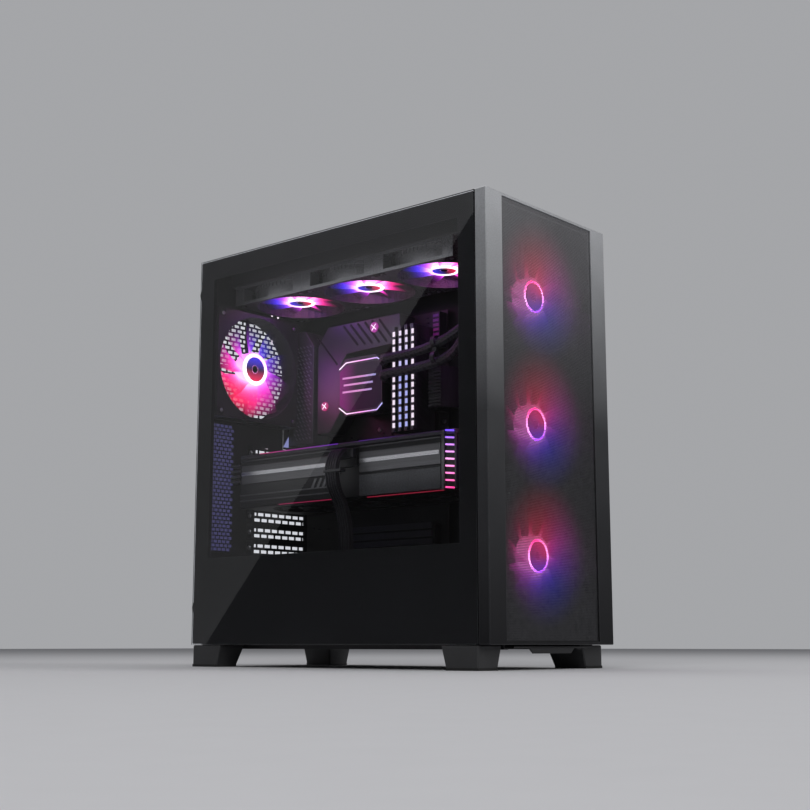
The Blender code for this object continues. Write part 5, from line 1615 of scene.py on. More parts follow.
@dataclass(frozen=True)
class FanLook:
    """One lit fan: which way its colours run, and how wide and bright its hub ring is."""

    name: str
    axis: Axis
    ring: float
    tube: float
    toward: Point
    blades: tuple[Light, Light, Light]
    ring_colours: tuple[Light, Light, Light]
    core: tuple[Light, Light, Light]
    core_toward: Point
    heart: Light = Light.PINK
    power: float = 3.0
    ring_power: float = 3.0
    core_power: float = 1.2
    fade: float = 2.0
    cover: float = 0.4
    edge: float = 0.3
    dark: bool = False

    def build(self) -> None:
        """Dresses the frame and blades and adds the ring, the lit core, pads and screws."""
        # the top fans take the lighter frame finish, a painted sheen; the front and rear fans take the darker
        # plastic
        dress(self.name + "_frame", FINISH.dark_fan if self.dark else FINISH.fan)
        rotor = self.name + "_rotor"
        low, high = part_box(rotor)
        centre = (low + high) / 2
        front = low[self.axis.value]
        outer = (high.x - low.x) / 2
        middle = [centre.x, centre.y, centre.z]
        finish = FrostedBlade(
            rotor + "_light", tuple(middle), self.toward, *self.blades, self.heart, self.ring, outer, self.power,
            self.fade, self.cover, self.edge,
        ).build()
        dress(rotor, finish, smooth=True)
        self.ring_light(middle, front)
        self.pads_and_screws()

    def ring_light(self, middle: list, front: float) -> None:
        """The bright ring on the hub, the dished core inside it and its dark centre."""
        body = self.name + "_spinner"
        flat = tuple(v for i, v in enumerate(middle) if i != self.axis.value)
        hub = front + 1.5 * MM
        steps = 10
        section = [
            (
                self.ring + self.tube * math.cos(2 * math.pi * i / steps),
                hub - 0.4 * MM + 0.7 * self.tube * math.sin(2 * math.pi * i / steps),
            )
            for i in range(steps)
        ]
        place_of = sum(a * m for a, m in zip(self.toward, middle))
        reach = self.ring + self.tube
        limits = (place_of - reach, place_of + reach)
        ring = Lamp(self.name + "_ring_light", self.toward, *limits, *self.ring_colours, self.ring_power, 0.1)
        Shape().turned(section, self.axis, flat, 64).piece(
            self.name + "_hub_ring", body, "blade_plastic", ring.build(),
        )
        inner = self.ring - self.tube * 0.9
        place_of = sum(a * m for a, m in zip(self.core_toward, middle))
        limits = (place_of - inner, place_of + inner)
        core = Lamp(self.name + "_core_light", self.core_toward, *limits, *self.core, self.core_power, 0.2)
        dish = [
            (inner * 0.32, hub - 0.1 * MM), (inner * 0.34, hub - 0.5 * MM), (inner * 0.95, hub - 1.2 * MM),
            (inner, hub - 0.6 * MM), (inner, hub - 0.1 * MM),
        ]
        Shape().turned(dish, self.axis, flat, 48).piece(
            self.name + "_hub_core", body, "blade_plastic", core.build(),
        )
        cap = [
            (0, hub - 0.7 * MM), (inner * 0.25, hub - 0.6 * MM), (inner * 0.31, hub - 0.1 * MM),
            (0, hub - 0.1 * MM),
        ]
        Shape().turned(cap, self.axis, flat, 24).piece(self.name + "_hub_cap", body, "black_plastic", FINISH.void)

    def pads_and_screws(self) -> None:
        """A soft pad on each corner of both flanges, and a screw through each at the far side."""
        low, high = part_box(self.name + "_frame")
        axis = self.axis.value
        others = [i for i in range(3) if i != axis]
        pads = Shape()
        points = []
        for a_side in (0, 1):
            for b_side in (0, 1):
                limits = [None, None, None]
                for index, side in zip(others, (a_side, b_side)):
                    corner = (low, high)[side][index]
                    inward = 11 * MM if side == 0 else -11 * MM
                    step = 0.3 * MM if side == 0 else -0.3 * MM
                    limits[index] = tuple(sorted((corner + step, corner + inward)))
                for start in (low[axis], high[axis]):
                    sign = -1 if start == low[axis] else 1
                    limits[axis] = tuple(sorted((start - sign * 0.4 * MM, start + sign * 0.18 * MM)))
                    pads.block(*limits)
                point = [0.0, 0.0, 0.0]
                for index, side in zip(others, (a_side, b_side)):
                    point[index] = (low, high)[side][index] + (7.5 * MM if side == 0 else -7.5 * MM)
                point[axis] = low[axis] - 0.1 * MM
                points.append(tuple(point))
        pads.piece(self.name + "_pads", CHASSIS, "black_rubber", FINISH.rubber)
        tilt = (math.pi, 0.0, 0.0) if self.axis is Axis.Z else (math.pi / 2, 0.0, 0.0)
        RECIPES.screws.make(
            self.name + "_screws", CHASSIS, "screw_steel", FINISH.screw, points_mesh("fan_points", points),
            Radius=2.6 * MM, Height=0.9 * MM, Tilt=tilt,
        )


@dataclass
class Fans:
    """All seven case fans and the teeth round the top fans' ducts."""

    def build(self) -> None:
        """Builds each fan with its own colours."""
        for end in ("lower", "middle", "upper"):
            FanLook(
                f"front_fan_{end}", Axis.Y, 17.2 * MM, 1.3 * MM, (0.35, 0.0, -0.94),
                (Light.RED, Light.MAGENTA, Light.BLUE), (Light.ROSE, Light.PINK, Light.VIOLET),
                (Light.ROSE, Light.NIGHT, Light.BLUE), (0.0, 0.0, -1.0), heart=Light.PINK, power=1.7,
                ring_power=9.0, core_power=1.2, fade=2.4, cover=0.05, edge=0.05, dark=True,
            ).build()
        for end in ("front", "middle", "rear"):
            name = f"top_fan_{end}"
            FanLook(
                name, Axis.Z, 16.6 * MM, 2.4 * MM, (0.45, -0.89, 0.0), (Light.BLUE, Light.MAGENTA, Light.ROSE),
                (Light.PINK, Light.WHITE, Light.WHITE), (Light.BLUE, Light.NIGHT, Light.RED), (0.45, -0.89, 0.0),
                power=4.2, ring_power=2.2, fade=2.2, edge=0.0, cover=0.35,
            ).build()
            self.teeth(name)
        FanLook(
            "rear_fan", Axis.Y, 18.4 * MM, 2.4 * MM, (-0.6, 0.0, -0.8), (Light.BLUE, Light.MAGENTA, Light.RED),
            (Light.PINK, Light.WHITE, Light.WHITE), (Light.BLUE, Light.NIGHT, Light.RED), (0.0, 0.0, -1.0),
            power=2.3, ring_power=3.0, core_power=1.1, fade=1.9, cover=0.1, edge=0.7, dark=True,
        ).build()

    def teeth(self, name: str) -> None:
        """The short ribs between a top fan's duct and its upper flange."""
        low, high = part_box(name + "_frame")
        middle = (low + high) / 2
        RECIPES.ring.make(
            name + "_duct_teeth", CHASSIS, "black_plastic", FINISH.fan, Count=64, Radius=58.9 * MM,
            Size=(1.0 * MM, 2.8 * MM, 5.0 * MM), Centre=(middle.x, middle.y, high.z - 6.0 * MM),
            Tilt=(0.0, 0.0, 0.0),
        )


# ---- cooler ---------------------------------------------------------------------------------


@dataclass
class Cooler:
    """The radiator, tubes and pump with its light lines and stripes."""

    def build(self) -> None:
        """Dresses the cooler's nodes and adds its detail."""
        dress("radiator", FINISH.plastic, smooth=True)
        dress("pump_block", FINISH.sink)
        for node in ("coolant_tube_upper", "coolant_tube_lower"):
            dress(node, FINISH.tube, smooth=True)
        self.fins()
        self.pump_face()
        self.collars()
        self.clip()

    def fins(self) -> None:
        """The fin core's edges on the radiator's upper face."""
        low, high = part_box("radiator")
        length = (low.y + 30 * MM, high.y - 12 * MM)
        count = int((length[1] - length[0]) / (2.4 * MM))
        row_of_blocks(
            "radiator_fins", CHASSIS, "radiator_paint", FINISH.sink,
            start=((low.x + high.x) / 2, length[0], high.z + 0.15 * MM),
            size=(high.x - low.x - 10 * MM, 0.5 * MM, 0.5 * MM), count=count, step=(0.0, 2.4 * MM, 0.0),
        )

    def pump_face(self) -> None:
        """The lines of light along the pump's cut corners, three slanted stripes and painted magenta light on the
        face plate, strongest towards its rear.
        """
        face = span("pump_block", Axis.X)[0]
        x = face / MM - 0.25
        top = [(346, 348.5), (334, 356.0), (281, 356.0), (275, 352.0)]
        low = [(346, 298.5), (333, 289.5), (281, 289.5), (272, 297.0)]
        line_light = Lamp(
            "pump_line_light", (0, 1, 0), *DATUM.depths(270, 346), Light.ICE, Light.PINK, Light.WHITE, 1.6,
        ).build()
        lines = Shape()
        for path in (top, low):
            for (d0, z0), (d1, z1) in zip(path, path[1:]):
                lines.bar(DATUM.at(x, d0, z0), DATUM.at(x, d1, z1), 1.3 * MM, 0.6 * MM)
        lines.piece("pump_light_lines", CHASSIS, "blade_plastic", line_light)
        stripes = Shape()
        for i, (far, near) in enumerate(((340, 283), (338, 288), (340, 290))):
            level = 336 - i * 9.0
            slope = (near - far) * 0.02
            stripes.bar(DATUM.at(x, far, level), DATUM.at(x, near, level + slope), 2.4 * MM, 0.5 * MM)
        stripes.piece(
            "pump_stripes", CHASSIS, "blade_plastic",
            Lamp(
                "pump_stripe_light", (0, 1, 0), *DATUM.depths(283, 340), Light.ICE, Light.PINK, Light.PINK, 0.8,
            ).build(),
        )
        # painted magenta light on the pump's face plate, strongest towards the rear
        glow = Lamp(
            "pump_face_painted_magenta_light", (0, 1, 0), *DATUM.depths(280, 352), Light.NIGHT, Light.NIGHT, Light.MAGENTA, 0.3, 0.3,
            0.02,
        ).build()
        plate = ((345, 302), (333, 293), (282, 293), (274, 300), (274, 348), (281, 352.5), (333, 352.5), (345, 345))
        outline = [(DATUM.depth(d), DATUM.level(z)) for d, z in plate]
        Shape().prism(
            outline, Axis.X, face - 0.15 * MM, face + 0.2 * MM,
        ).piece("pump_face_plate", CHASSIS, "sink_metal", glow)

    def collars(self) -> None:
        """A plain collar where each tube meets the pump and the radiator."""
        shape = Shape()
        for node in ("coolant_tube_upper", "coolant_tube_lower"):
            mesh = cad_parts[node].data
            top = max(mesh.vertices, key=lambda v: v.co.z).co.z
            ring = [v.co for v in mesh.vertices if v.co.z > top - 0.5 * MM]
            x, y = (sum(p[i] for p in ring) / len(ring) for i in (0, 1))
            shape.sleeve((6.1 * MM, 7.2 * MM), (top - 16 * MM, top - 0.5 * MM), Axis.Z, (x, y))
            right = max(mesh.vertices, key=lambda v: v.co.x).co.x
            ring = [v.co for v in mesh.vertices if v.co.x > right - 0.5 * MM]
            y, z = (sum(p[i] for p in ring) / len(ring) for i in (1, 2))
            shape.sleeve((6.1 * MM, 7.0 * MM), (right - 3.5 * MM, right), Axis.X, (y, z))
        shape.piece("tube_collars", CHASSIS, "bracket_steel", FINISH.black_screw)

    def clip(self) -> None:
        """The comb that holds the two tubes apart."""
        shape = Shape()
        y = DATUM.depth(175.0)
        tubes = [self.crossing(node, y) for node in ("coolant_tube_upper", "coolant_tube_lower")]
        for x, z in tubes:
            shape.sleeve((6.05 * MM, 7.4 * MM), about(y, 3 * MM), Axis.Y, (x, z))
        (xa, za), (xb, zb) = tubes
        low, high = min(za, zb) + 6.6 * MM, max(za, zb) - 6.6 * MM
        if high > low:
            shape.block(about((xa + xb) / 2, 2.2 * MM), about(y, 3 * MM), (low, high))
        shape.piece("tube_comb", CHASSIS, "black_plastic", FINISH.plastic)

    def crossing(self, node: str, y: float) -> tuple[float, float]:
        """Where a tube's middle is at a depth, as (x, z)."""
        near = [v.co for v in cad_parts[node].data.vertices if abs(v.co.y - y) < 7 * MM]
        return (sum(p.x for p in near) / len(near), sum(p.z for p in near) / len(near))


# ---- boards ---------------------------------------------------------------------------------


@dataclass
class MainBoard:
    """The main board's parts: memory lights, port cover dashes, grooves, caps and chips."""

    def build(self) -> None:
        """Dresses the board's nodes and adds its detail."""
        dress("motherboard", FINISH.board)
        dress("motherboard_tray", FINISH.inside)
        dress("front_bulkhead", FINISH.inside)
        dress("psu_shroud", FINISH.inside)
        dress("io_shroud", Coated("port_cover_paint", (0.1, 0.095, 0.11), 0.4, 0.6).build())
        dress("vrm_heatsink", FINISH.sink)
        self.memory()
        self.port_cover()
        self.heatsink()
        self.chips()
        self.edge_parts()

    def memory(self) -> None:
        """Each memory module's row of light windows along its edge, and its grooved side."""
        for i in range(1, 5):
            node = f"memory_module_{i}"
            dress(node, FINISH.sink)
            low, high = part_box(node)
            middle = (low.y + high.y) / 2
            foot = Light.ICE if i in (2, 3) else Light.WHITE
            light = Lamp(f"memory_light_{i}", (0, 0, 1), low.z, high.z, foot, foot, Light.WHITE, 1.1, 0.2).build()
            row_of_blocks(
                f"memory_windows_{i}", CHASSIS, "blade_plastic", light,
                start=(low.x - 0.1 * MM, middle - 1.4 * MM, low.z + 8 * MM), size=(0.8 * MM, 3.4 * MM, 6.0 * MM),
                count=13, step=(0.0, 0.0, 9.6 * MM),
            )
            row_of_blocks(
                f"memory_ribs_{i}", CHASSIS, "sink_metal", FINISH.sink,
                start=((low.x + high.x) / 2, low.y - 0.2 * MM, low.z + 12 * MM), size=(22 * MM, 0.5 * MM, 1.6 * MM),
                turn=(0.0, 0.5, 0.0), count=14, step=(0.0, 0.0, 8 * MM),
            )

    def port_cover(self) -> None:
        """The slanted dashes that pierce the port cover's face."""
        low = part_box("io_shroud")[0]
        row_of_blocks(
            "port_cover_dashes", CHASSIS, "sink_metal",
            Brushed("dash_metal", (0.34, 0.32, 0.38), 0.4, 0.8, Axis.Z).build(),
            start=(low.x - 0.12 * MM, low.y + 5 * MM, low.z + 8 * MM), size=(0.5 * MM, 4.4 * MM, 1.3 * MM),
            turn=(0.7, 0.0, 0.0), count=5, step=(0.0, 6.2 * MM, 0.0), rows=23, row_step=(0.0, 0.0, 5.6 * MM),
            shift=(0.0, 3.1 * MM, 0.0),
        )

    def heatsink(self) -> None:
        """The regulator heatsink's slanted grooves, dark bars of painted shade, and its two caps with a painted
        pink reflection and painted cross-shaped glints.
        """
        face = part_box("vrm_heatsink")[0].x
        x = face / MM - 0.1
        grooves = Shape()
        for i in range(6):
            depth = 268 + i * 12.5
            grooves.bar(DATUM.at(x, depth, 379 + i * 0.6), DATUM.at(x, depth + 26, 411), 3.2 * MM, 0.5 * MM)
        grooves.bar(DATUM.at(x, 403, 402), DATUM.at(x, 367, 361), 2.6 * MM, 0.5 * MM)
        # the grooves are dark bars of painted shade
        grooves.piece("heatsink_grooves", CHASSIS, "black_plastic", FINISH.void)
        caps, crosses = Shape(), Shape()
        for depth, level, radius in ((301.6, 401.2, 6.6), (388.5, 307.9, 6.0)):
            centre = (DATUM.depth(depth), DATUM.level(level))
            r = radius * MM
            profile = [
                (0, face - 1.2 * MM), (r * 0.55, face - 1.7 * MM), (r * 0.95, face - 2.0 * MM),
                (r, face - 1.2 * MM), (r, face + 0.5 * MM), (0, face + 0.5 * MM),
            ]
            caps.turned(profile, Axis.X, centre, 40)
            for turn in (0.7, 0.7 + math.pi / 2):
                dy, dz = r * 0.8 * math.cos(turn), r * 0.8 * math.sin(turn)
                crosses.bar(
                    (face - 1.9 * MM, centre[0] - dy, centre[1] - dz),
                    (face - 1.9 * MM, centre[0] + dy, centre[1] + dz), 1.0 * MM, 0.3 * MM,
                )
        # painted pink reflection on the chrome caps
        cap_light = Lamp(
            "cap_painted_pink_reflection", (0, 0, 1), *DATUM.levels(300, 408), Light.ROSE, Light.MAGENTA, Light.MAGENTA, 0.5,
        ).build()
        caps.piece("heatsink_caps", CHASSIS, "bracket_steel", cap_light)
        # painted cross-shaped glints on the caps
        cross_light = Lamp(
            "cap_glint", (0, 0, 1), *DATUM.levels(300, 408), Light.WHITE, Light.WHITE, Light.WHITE, 1.6,
        ).build()
        crosses.piece("heatsink_cap_glints", CHASSIS, "bracket_steel", cross_light)

    def chips(self) -> None:
        """Small parts strewn over the free parts of the board."""
        board_face = self.board_face()
        patches = (
            (DATUM.depths(262, 300), DATUM.levels(240, 282), 11),
            (DATUM.depths(212, 300), DATUM.levels(114, 124), 12),
            (DATUM.depths(300, 400), DATUM.levels(240, 268), 13),
            (DATUM.depths(215, 250), DATUM.levels(396, 412), 14),
            (DATUM.depths(385, 444), DATUM.levels(150, 215), 15),
        )
        for i, (y, z, seed) in enumerate(patches):
            RECIPES.scatter.make(
                f"board_chips_{i + 1}", CHASSIS, "black_plastic", FINISH.black_screw,
                plane_mesh("chip_patch", Axis.X, board_face, y, z), Gap=4 * MM, Density=9000.0, Seed=seed,
                Least=(1.2 * MM, 1.2 * MM, 1.2 * MM), Most=(4 * MM, 3.4 * MM, 3.4 * MM),
            )

    def board_face(self) -> float:
        """The board's front surface: the tray's board side less its posts and the board."""
        post = span("motherboard_tray", Axis.X)[0]
        return post - 0.3 * MM - 1.6 * MM

    def edge_parts(self) -> None:
        """The power plug's comb, the bracket of sockets above it, three ribs below, the board's screws and the
        cable windows' rims.
        """
        face = self.board_face()
        dress("board_power_cable", FINISH.sleeve)
        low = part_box("board_power_cable")[0]
        row_of_blocks(
            "board_cable_strands", CHASSIS, "cable_sleeve", FINISH.sleeve,
            start=(low.x - 0.3 * MM, (low.y + DATUM.depth(206)) / 2 + 6 * MM, low.z + 2 * MM),
            size=(1.2 * MM, 20 * MM, 2.4 * MM), count=12, step=(0.0, 0.0, 4.1 * MM),
        )
        bracket = Shape()
        y = DATUM.depths(208, 219)
        bracket.block((face - 14 * MM, face), y, DATUM.levels(366, 411))
        bracket.piece("front_header_block", CHASSIS, "black_plastic", FINISH.plastic, 0.6 * MM)
        # painted violet light on the header's ribs
        dusk = Lamp(
            "header_painted_violet_light", (0, 0, 1), *DATUM.levels(364, 411), Light.VIOLET, Light.MAGENTA, Light.VIOLET, 0.12, 0.4,
            0.03,
        ).build()
        row_of_blocks(
            "front_header_ribs", CHASSIS, "black_plastic", dusk,
            start=(face - 14.4 * MM, DATUM.depth(213.5), DATUM.level(370)), size=(0.8 * MM, 9 * MM, 3.2 * MM),
            count=7, step=(0.0, 0.0, 6 * MM),
        )
        shape = Shape()
        for level in (118.0, 128.0, 138.0):
            shape.block(
                (face - 10.5 * MM, face - 8.5 * MM), DATUM.depths(225, 375),
                about(DATUM.level(level + 7), 3.6 * MM),
            )
        shape.piece("board_spreader_ribs", CHASSIS, "sink_metal", FINISH.sink, 0.5 * MM)
        screws = []
        for depth in (212.0, 320.0, 444.0):
            for level in (117.5, 273.5, 408.5):
                screws.append((face - 0.4 * MM, DATUM.depth(depth), DATUM.level(level)))
        RECIPES.screws.make(
            "board_screws", CHASSIS, "screw_steel", FINISH.screw, points_mesh("board_points", screws),
            Radius=3 * MM, Height=1.2 * MM, Tilt=(0.0, -math.pi / 2, 0.0),
        )
        self.grommets()

    def grommets(self) -> None:
        """A rubber rim round each cable window of the tray."""
        x = span("motherboard_tray", Axis.X)
        sheet = (x[1] - 1.4 * MM, x[1] + 0.4 * MM)
        shape = Shape()
        for level in (390.5, 310.5, 230.5):
            outer = rectangle(DATUM.depths(167.6, 194.6), DATUM.levels(level - 35, level + 35))
            inner = rectangle(DATUM.depths(170.6, 191.6), DATUM.levels(level - 32, level + 32))
            shape.hoop(outer, inner, Axis.X, *sheet)
        shape.piece("cable_window_rims", CHASSIS, "black_rubber", FINISH.rubber, 0.5 * MM)


# ---- graphics card --------------------------------------------------------------------------


@dataclass
class GraphicsCard:
    """The card's side plates, bright line, edge lights, rungs, fins and power leads."""

    def build(self) -> None:
        """Dresses the card's nodes and adds its detail."""
        dress("gpu_shroud", Coated("card_shroud_paint", (0.012, 0.012, 0.013), 0.4, 0.4).build())
        dress("gpu_backplate", FINISH.sink)
        for end in ("front", "middle", "rear"):
            dress(f"gpu_fan_{end}_rotor", FINISH.plastic, smooth=True)
        low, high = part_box("gpu_backplate")
        self.side = low.x
        self.plates()
        self.lights()
        self.rungs()
        self.backplate(low, high)
        self.leads()
        self.hub_caps()

    def plates(self) -> None:
        """Brushed plates along the card's side, a bright line, a dotted plate and chevrons."""
        x = (self.side - 1.6 * MM, self.side + 1.5 * MM)
        upper = Shape()
        upper.prism(self.outline(((427, 198), (257, 198), (257, 221), (427, 221))), Axis.X, *x)
        upper.prism(self.outline(((226, 197), (104, 197), (104, 221), (226, 221))), Axis.X, *x)
        upper.piece("card_side_plate", CHASSIS, "card_metal", FINISH.card, 0.5 * MM)
        lower = Shape()
        lower.prism(self.outline(((226, 169.5), (104, 169.5), (104, 194), (226, 194))), Axis.X, *x)
        textured = Coated(
            "card_dotted_plate", (0.085, 0.087, 0.092), 0.45, 0.6, bead=500.0, depth=0.2 * MM, contrast=0.8,
        ).build()
        lower.piece("card_dotted_plate", CHASSIS, "card_metal", textured, 0.5 * MM)
        line = Shape()
        bright = (x[0] - 0.4 * MM, x[0] + 0.4 * MM)
        for start, end in ((427, 257), (226, 106)):
            line.prism(self.outline(((start, 208.2), (end, 208.2), (end, 213.2), (start, 213.2))), Axis.X, *bright)
        line.piece("card_bright_line", CHASSIS, "bracket_steel", FINISH.bright, 0.3 * MM)
        rails = Shape()
        for start, end, level in ((430, 258, 226.5), (226, 104, 226.5), (430, 262, 176.5), (430, 262, 183.5)):
            rails.prism(
                self.outline(((start, level), (end, level), (end, level + 1.6), (start, level + 1.6))), Axis.X,
                x[0] + 0.8 * MM, x[1],
            )
        rails.piece("card_side_rails", CHASSIS, "card_metal", FINISH.card, 0.3 * MM)
        marks = Shape()
        for i in range(3):
            start = 306 - i * 9.0
            marks.prism(
                self.outline(((start, 184), (start - 4.5, 184), (start - 11, 196), (start - 6.5, 196))), Axis.X,
                x[0] + 1.0 * MM, x[1],
            )
        marks.piece("card_chevrons", CHASSIS, "card_metal", FINISH.card, 0.2 * MM)
        fins = Shape()
        for i in range(4):
            fins.block(
                (self.side - 0.6 * MM, self.side + 12 * MM), DATUM.depths(432.2, 448),
                about(DATUM.level(202.5 + i * 6.6), 1.2 * MM),
            )
        fins.piece("card_rear_fins", CHASSIS, "card_metal", FINISH.card, 0.2 * MM)

    def outline(self, corners: tuple) -> list:
        """Corners in millimetres back and up, as an outline in metres."""
        return [(DATUM.depth(d), DATUM.level(z)) for d, z in corners]

    def lights(self) -> None:
        """The thin lines of light along the card's upper and lower edges."""
        x = self.side / MM - 0.4
        top = span("gpu_backplate", Axis.Z)[1] / MM - DATUM.base / MM
        upper = Shape()
        upper.bar(DATUM.at(x, 395, top - 0.6), DATUM.at(x, 262, top - 0.6), 1.0 * MM, 0.8 * MM)
        upper.bar(DATUM.at(x, 228, top - 0.6), DATUM.at(x, 90, top - 0.6), 0.7 * MM, 0.8 * MM)
        edge = Lamp(
            "card_top_light", (0, 1, 0), *DATUM.depths(150, 395), Light.NIGHT, Light.VIOLET, Light.ROSE, 0.5, 0.2,
            0.03,
        ).build()
        upper.piece("card_top_light", CHASSIS, "blade_plastic", edge)
        lower = Shape()
        lower.bar(DATUM.at(x, 360, 169), DATUM.at(x, 262, 169), 0.9 * MM, 0.8 * MM)
        lower.bar(DATUM.at(x, 214, 167.6), DATUM.at(x, 100, 167.6), 0.9 * MM, 0.8 * MM)
        red = Lamp(
            "card_low_light", (0, 1, 0), *DATUM.depths(100, 360), Light.RED, Light.RED, Light.ROSE, 0.3, 0.3, 0.03,
        ).build()
        lower.piece("card_low_light", CHASSIS, "blade_plastic", red)

    def rungs(self) -> None:
        """The ladder of lit rungs at the card's front end, blue at the top and rose below."""
        light = Lamp(
            "card_rung_light", (0, 0, 1), *DATUM.levels(166, 238), Light.ROSE, Light.PINK, Light.BLUE, 1.8,
        ).build()
        row_of_blocks(
            "card_light_rungs", CHASSIS, "blade_plastic", light,
            start=(self.side - 1.0 * MM, DATUM.depth(91), DATUM.level(170)), size=(2.4 * MM, 11 * MM, 1.8 * MM),
            turn=(0.12, 0.0, 0.0), count=9, step=(0.0, 0.0, 7.9 * MM),
        )
        posts = Shape()
        for start, end in ((98.5, 103.0), (82.5, 84.0)):
            posts.block(
                (self.side - 1.6 * MM, self.side + 1 * MM), DATUM.depths(start, end), DATUM.levels(168.5, 234),
            )
        posts.piece("card_rung_posts", CHASSIS, "card_metal", FINISH.card, 0.4 * MM)

    def backplate(self, low: Vector, high: Vector) -> None:
        """The backplate's long slats."""
        row_of_blocks(
            "backplate_slats", CHASSIS, "card_metal", FINISH.card,
            start=(low.x + 18 * MM, low.y + 25 * MM, high.z + 0.15 * MM), size=(3.0 * MM, 30 * MM, 0.6 * MM),
            turn=(0.0, 0.0, 0.5), count=8, step=(0.0, 40 * MM, 0.0), rows=10, row_step=(9 * MM, 0.0, 0.0),
            shift=(0.0, 20 * MM, 0.0),
        )

    def leads(self) -> None:
        """The card's power leads: sleeved strands that follow the cable, and their plug."""
        low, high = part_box("gpu_power_cable")
        start = high.x
        plug = DATUM.level(220.0)
        route = [
            (start, 0, plug), (start - 4 * MM, 0, plug), (start - 11 * MM, 0, plug + 4 * MM),
            (start - 19 * MM, 0, plug - 2 * MM), (start - 25 * MM, 0, plug - 18 * MM),
            (start - 21 * MM, 0, plug - 40 * MM), (start - 9 * MM, 0, plug - 60 * MM),
            (start - 2 * MM, 0, plug - 82 * MM), (start, 0, plug - 104 * MM), (start, 0, low.z),
        ]
        shown = None
        for row, shift in (("outer", -1.8 * MM), ("inner", 1.8 * MM)):
            curve = path_curve("lead_route", [(x + shift, y, z) for x, y, z in route], 40)
            shown = RECIPES.strands.make(
                f"card_leads_{row}", CHASSIS, "cable_sleeve", FINISH.sleeve, curve, Count=5,
                Start=(0.0, high.y - 16.6 * MM, 0.0), Step=(0.0, 3.6 * MM, 0.0), Radius=1.75 * MM, Sides=10,
            )
        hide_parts("gpu_power_cable")
        x = (self.side - 10 * MM, self.side - 0.4 * MM)
        Shape().block(x, (low.y - 1 * MM, high.y + 1 * MM), about(plug, 5.5 * MM)).piece(
            "card_power_plug", CHASSIS, "black_plastic", FINISH.plastic, 0.8 * MM,
        )
        comb = Shape()
        comb.block(
            (start - 29.2 * MM, start - 20.2 * MM), (low.y - 0.6 * MM, high.y + 0.6 * MM),
            about(plug - 22 * MM, 1.6 * MM),
        )
        comb.piece("card_lead_comb", CHASSIS, "black_plastic", FINISH.plastic, 0.4 * MM)

    def hub_caps(self) -> None:
        """A thin ring on each of the card fans' hubs."""
        for end in ("front", "middle", "rear"):
            node = f"gpu_fan_{end}_rotor"
            middle, low = centre_of(node), span(node, Axis.Z)[0]
            ends = (low - 0.3 * MM, low + 1.6 * MM)
            Shape().sleeve((9 * MM, 11 * MM), ends, Axis.Z, (middle.x, middle.y), 32).piece(
                node + "_ring", f"gpu_fan_{end}_spinner", "card_metal", FINISH.card,
            )


# ---- stage ----------------------------------------------------------------------------------


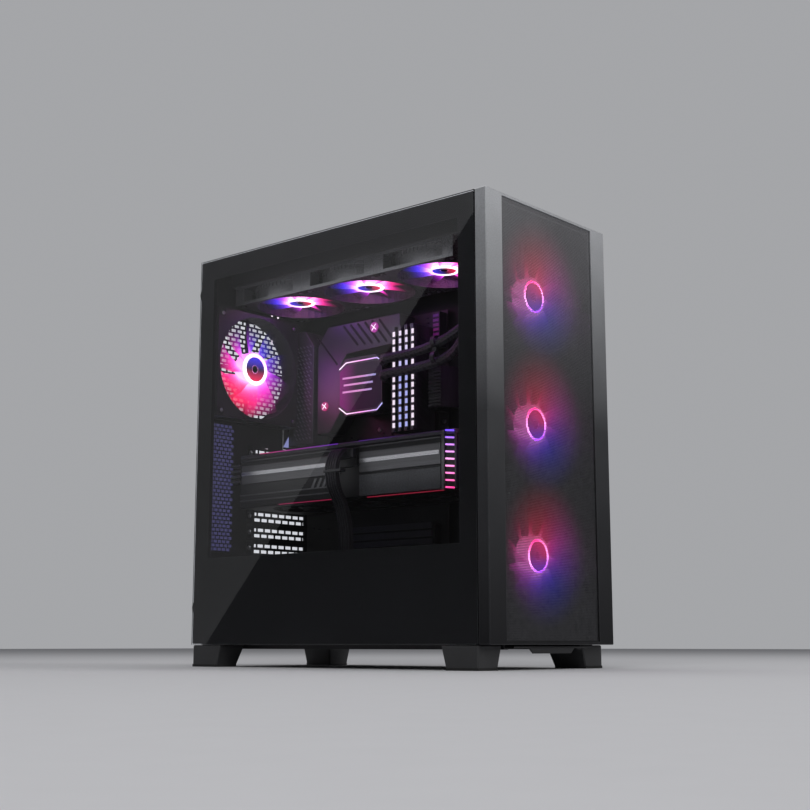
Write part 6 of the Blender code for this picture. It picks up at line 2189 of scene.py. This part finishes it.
@dataclass
class Studio:
    """The pale floor, the soft lights and the camera."""

    lens: float = 60.56
    eye: Point = (-1.2215, -1.07325, 0.0266)
    yaw: float = 49.21
    pitch: float = 9.96

    def build(self) -> None:
        """Builds the stage."""
        self.floor()
        self.world()
        self.glass_card()
        self.lamp("key", (-2.2, -1.4, 2.2), (0.0, 0.0, 0.3), (1.6, 1.6), 30.0)
        self.lamp("front", (1.2, -2.6, 1.6), (0.0, -0.2, 0.3), (1.2, 1.8), 24.0)
        self.lamp("top", (0.2, 0.3, 2.6), (0.0, 0.0, 0.4), (1.8, 1.8), 20.0)
        self.lamp("window_fill", (-0.1075, 0.06, 0.38), (0.0, 0.06, 0.38), (0.28, 0.14), 0.035, hidden=True)
        self.lamp("card_fill", (-0.1075, 0.04, 0.235), (0.0, 0.04, 0.235), (0.36, 0.04), 0.03, hidden=True)
        self.lamp("roof_fill", (-0.1075, 0.02, 0.468), (0.0, 0.02, 0.468), (0.36, 0.02), 0.05, hidden=True)
        rose, violet = Light.MAGENTA.value, Light.VIOLET.value
        self.lamp(
            "rear_fan_spill", DATUM.at(-35, 425, 352), DATUM.at(20, 250, 330), (0.07, 0.07), 0.016, rose, True,
        )
        for depth in (143, 263, 383):
            where = DATUM.at(-6, depth, 427)
            self.lamp(f"roof_spill_{depth}", where, DATUM.at(0, depth + 5, 300), (0.05, 0.05), 0.018, violet, True)
        self.camera()

    def floor(self) -> None:
        """A plain pale floor."""
        size = 6.0
        mesh = bpy.data.meshes.new("floor")
        mesh.from_pydata(
            [(-size, -size, 0), (size, -size, 0), (size, size, 0), (-size, size, 0)], [], [(0, 1, 2, 3)],
        )
        item = bpy.data.objects.new("floor", mesh)
        bpy.context.scene.collection.objects.link(item)
        look = Surface("pale_floor")
        grain = look.group(EFFECTS.grain, {"Vector": look.place, "Scale": 40.0, "Drift": 2.0})
        shade = look.spread(grain.outputs["Shade"], 0.97, 1.03)
        look.feed("Base Color", look.vector("SCALE", {0: (0.62, 0.62, 0.64), "Scale": shade}))
        look.set(Roughness=0.7)
        mesh.materials.append(look.material)

    def glass_card(self) -> None:
        """A soft card that only shows as a slanted sheen in the glass side."""
        side, across = -1.6, -0.115
        eye = Vector(self.eye)
        corners = []
        for y, z in ((-0.25, 0.52), (0.205, 0.02), (1.2, -0.9), (1.2, 0.9), (-0.25, 0.9)):
            reach = (across - side) / (across - eye.x)
            corners.append((side, y + reach * (y - eye.y), z + reach * (z - eye.z)))
        mesh = bpy.data.meshes.new("glass_card")
        mesh.from_pydata(corners, [], [(0, 1, 2, 3, 4)])
        item = bpy.data.objects.new("glass_card", mesh)
        bpy.context.scene.collection.objects.link(item)
        look = Surface("card_glow")
        run = look.group(
            EFFECTS.run,
            {
                "Vector": look.place, "Along": (0.0, -1.0, 0.0), "Start": -1.97, "End": -0.9,
                "First": (0.25, 0.25, 0.26, 1.0), "Middle": (0.5, 0.5, 0.52, 1.0), "Last": (1.0, 1.0, 1.04, 1.0),
            },
        )
        look.feed("Emission Color", run.outputs["Color"])
        look.set(Emission_Strength=0.09)
        mesh.materials.append(look.material)
        for kind in ("camera", "diffuse", "transmission", "shadow", "volume_scatter"):
            setattr(item, "visible_" + kind, False)

    def world(self) -> None:
        """Pale light from all round, dim inside the case and in reflections."""
        world = bpy.data.worlds.new("studio")
        world.use_nodes = True
        bpy.context.scene.world = world
        bpy.context.scene.view_settings.view_transform = "Standard"
        graph = Graph(world.node_tree)
        sky = world.node_tree.nodes["Background"]
        sky.inputs[0].default_value = (0.78, 0.79, 0.82, 1.0)
        path = graph.add("ShaderNodeLightPath").outputs
        bounces = graph.sum("ADD", path["Diffuse Depth"], path["Glossy Depth"])
        through = graph.sum("MULTIPLY", path["Is Transmission Ray"], graph.sum("LESS_THAN", bounces, 0.5))
        strength = graph.sum("MULTIPLY_ADD", path["Is Camera Ray"], 0.45, 0.03)
        strength = graph.sum("MULTIPLY_ADD", through, 1.0, strength)
        strength = graph.sum("MULTIPLY_ADD", path["Is Diffuse Ray"], 0.28, strength)
        world.node_tree.links.new(strength, sky.inputs[1])

    def lamp(
        self, name: str, where: Point, target: Point, size: tuple[float, float], power: float,
        colour: Colour = (1.0, 1.0, 1.0), hidden: bool = False,
    ) -> None:
        """A soft rectangular light that looks at a point.

        Args:
            name: the light's name.
            where: its place.
            target: the point it looks at.
            size: its width and height.
            power: its power in watts.
            colour: its colour.
            hidden: whether it lights surfaces without showing to the camera or through glass.
        """
        data = bpy.data.lights.new(name, "AREA")
        data.shape = "RECTANGLE"
        data.size, data.size_y = size
        data.energy = power
        data.color = colour
        item = bpy.data.objects.new(name, data)
        item.location = where
        item.rotation_euler = (Vector(target) - Vector(where)).to_track_quat("-Z", "Y").to_euler()
        if hidden:
            for kind in ("camera", "transmission"):
                setattr(item, "visible_" + kind, False)
        bpy.context.scene.collection.objects.link(item)

    def camera(self) -> None:
        """A camera low in front of the glass side, looking slightly up."""
        data = bpy.data.cameras.new("camera")
        data.lens = self.lens
        data.sensor_width = 36.0
        item = bpy.data.objects.new("camera", data)
        yaw, pitch = math.radians(self.yaw), math.radians(self.pitch)
        item.location = self.eye
        item.rotation_euler = (math.pi / 2 + pitch, 0.0, -yaw)
        bpy.context.scene.collection.objects.link(item)
        bpy.context.scene.camera = item


def main() -> None:
    """Builds every sub-assembly in order."""
    logging.basicConfig(level=logging.INFO, format="%(message)s")
    for part in (
        FrontCover(), GlassSide(), OuterShell(), RearWall(), Fans(), Cooler(), MainBoard(), GraphicsCard(),
    ):
        LOG.info("building %s", type(part).__name__)
        part.build()
    Studio().build()


if __name__ == "__main__":
    main()
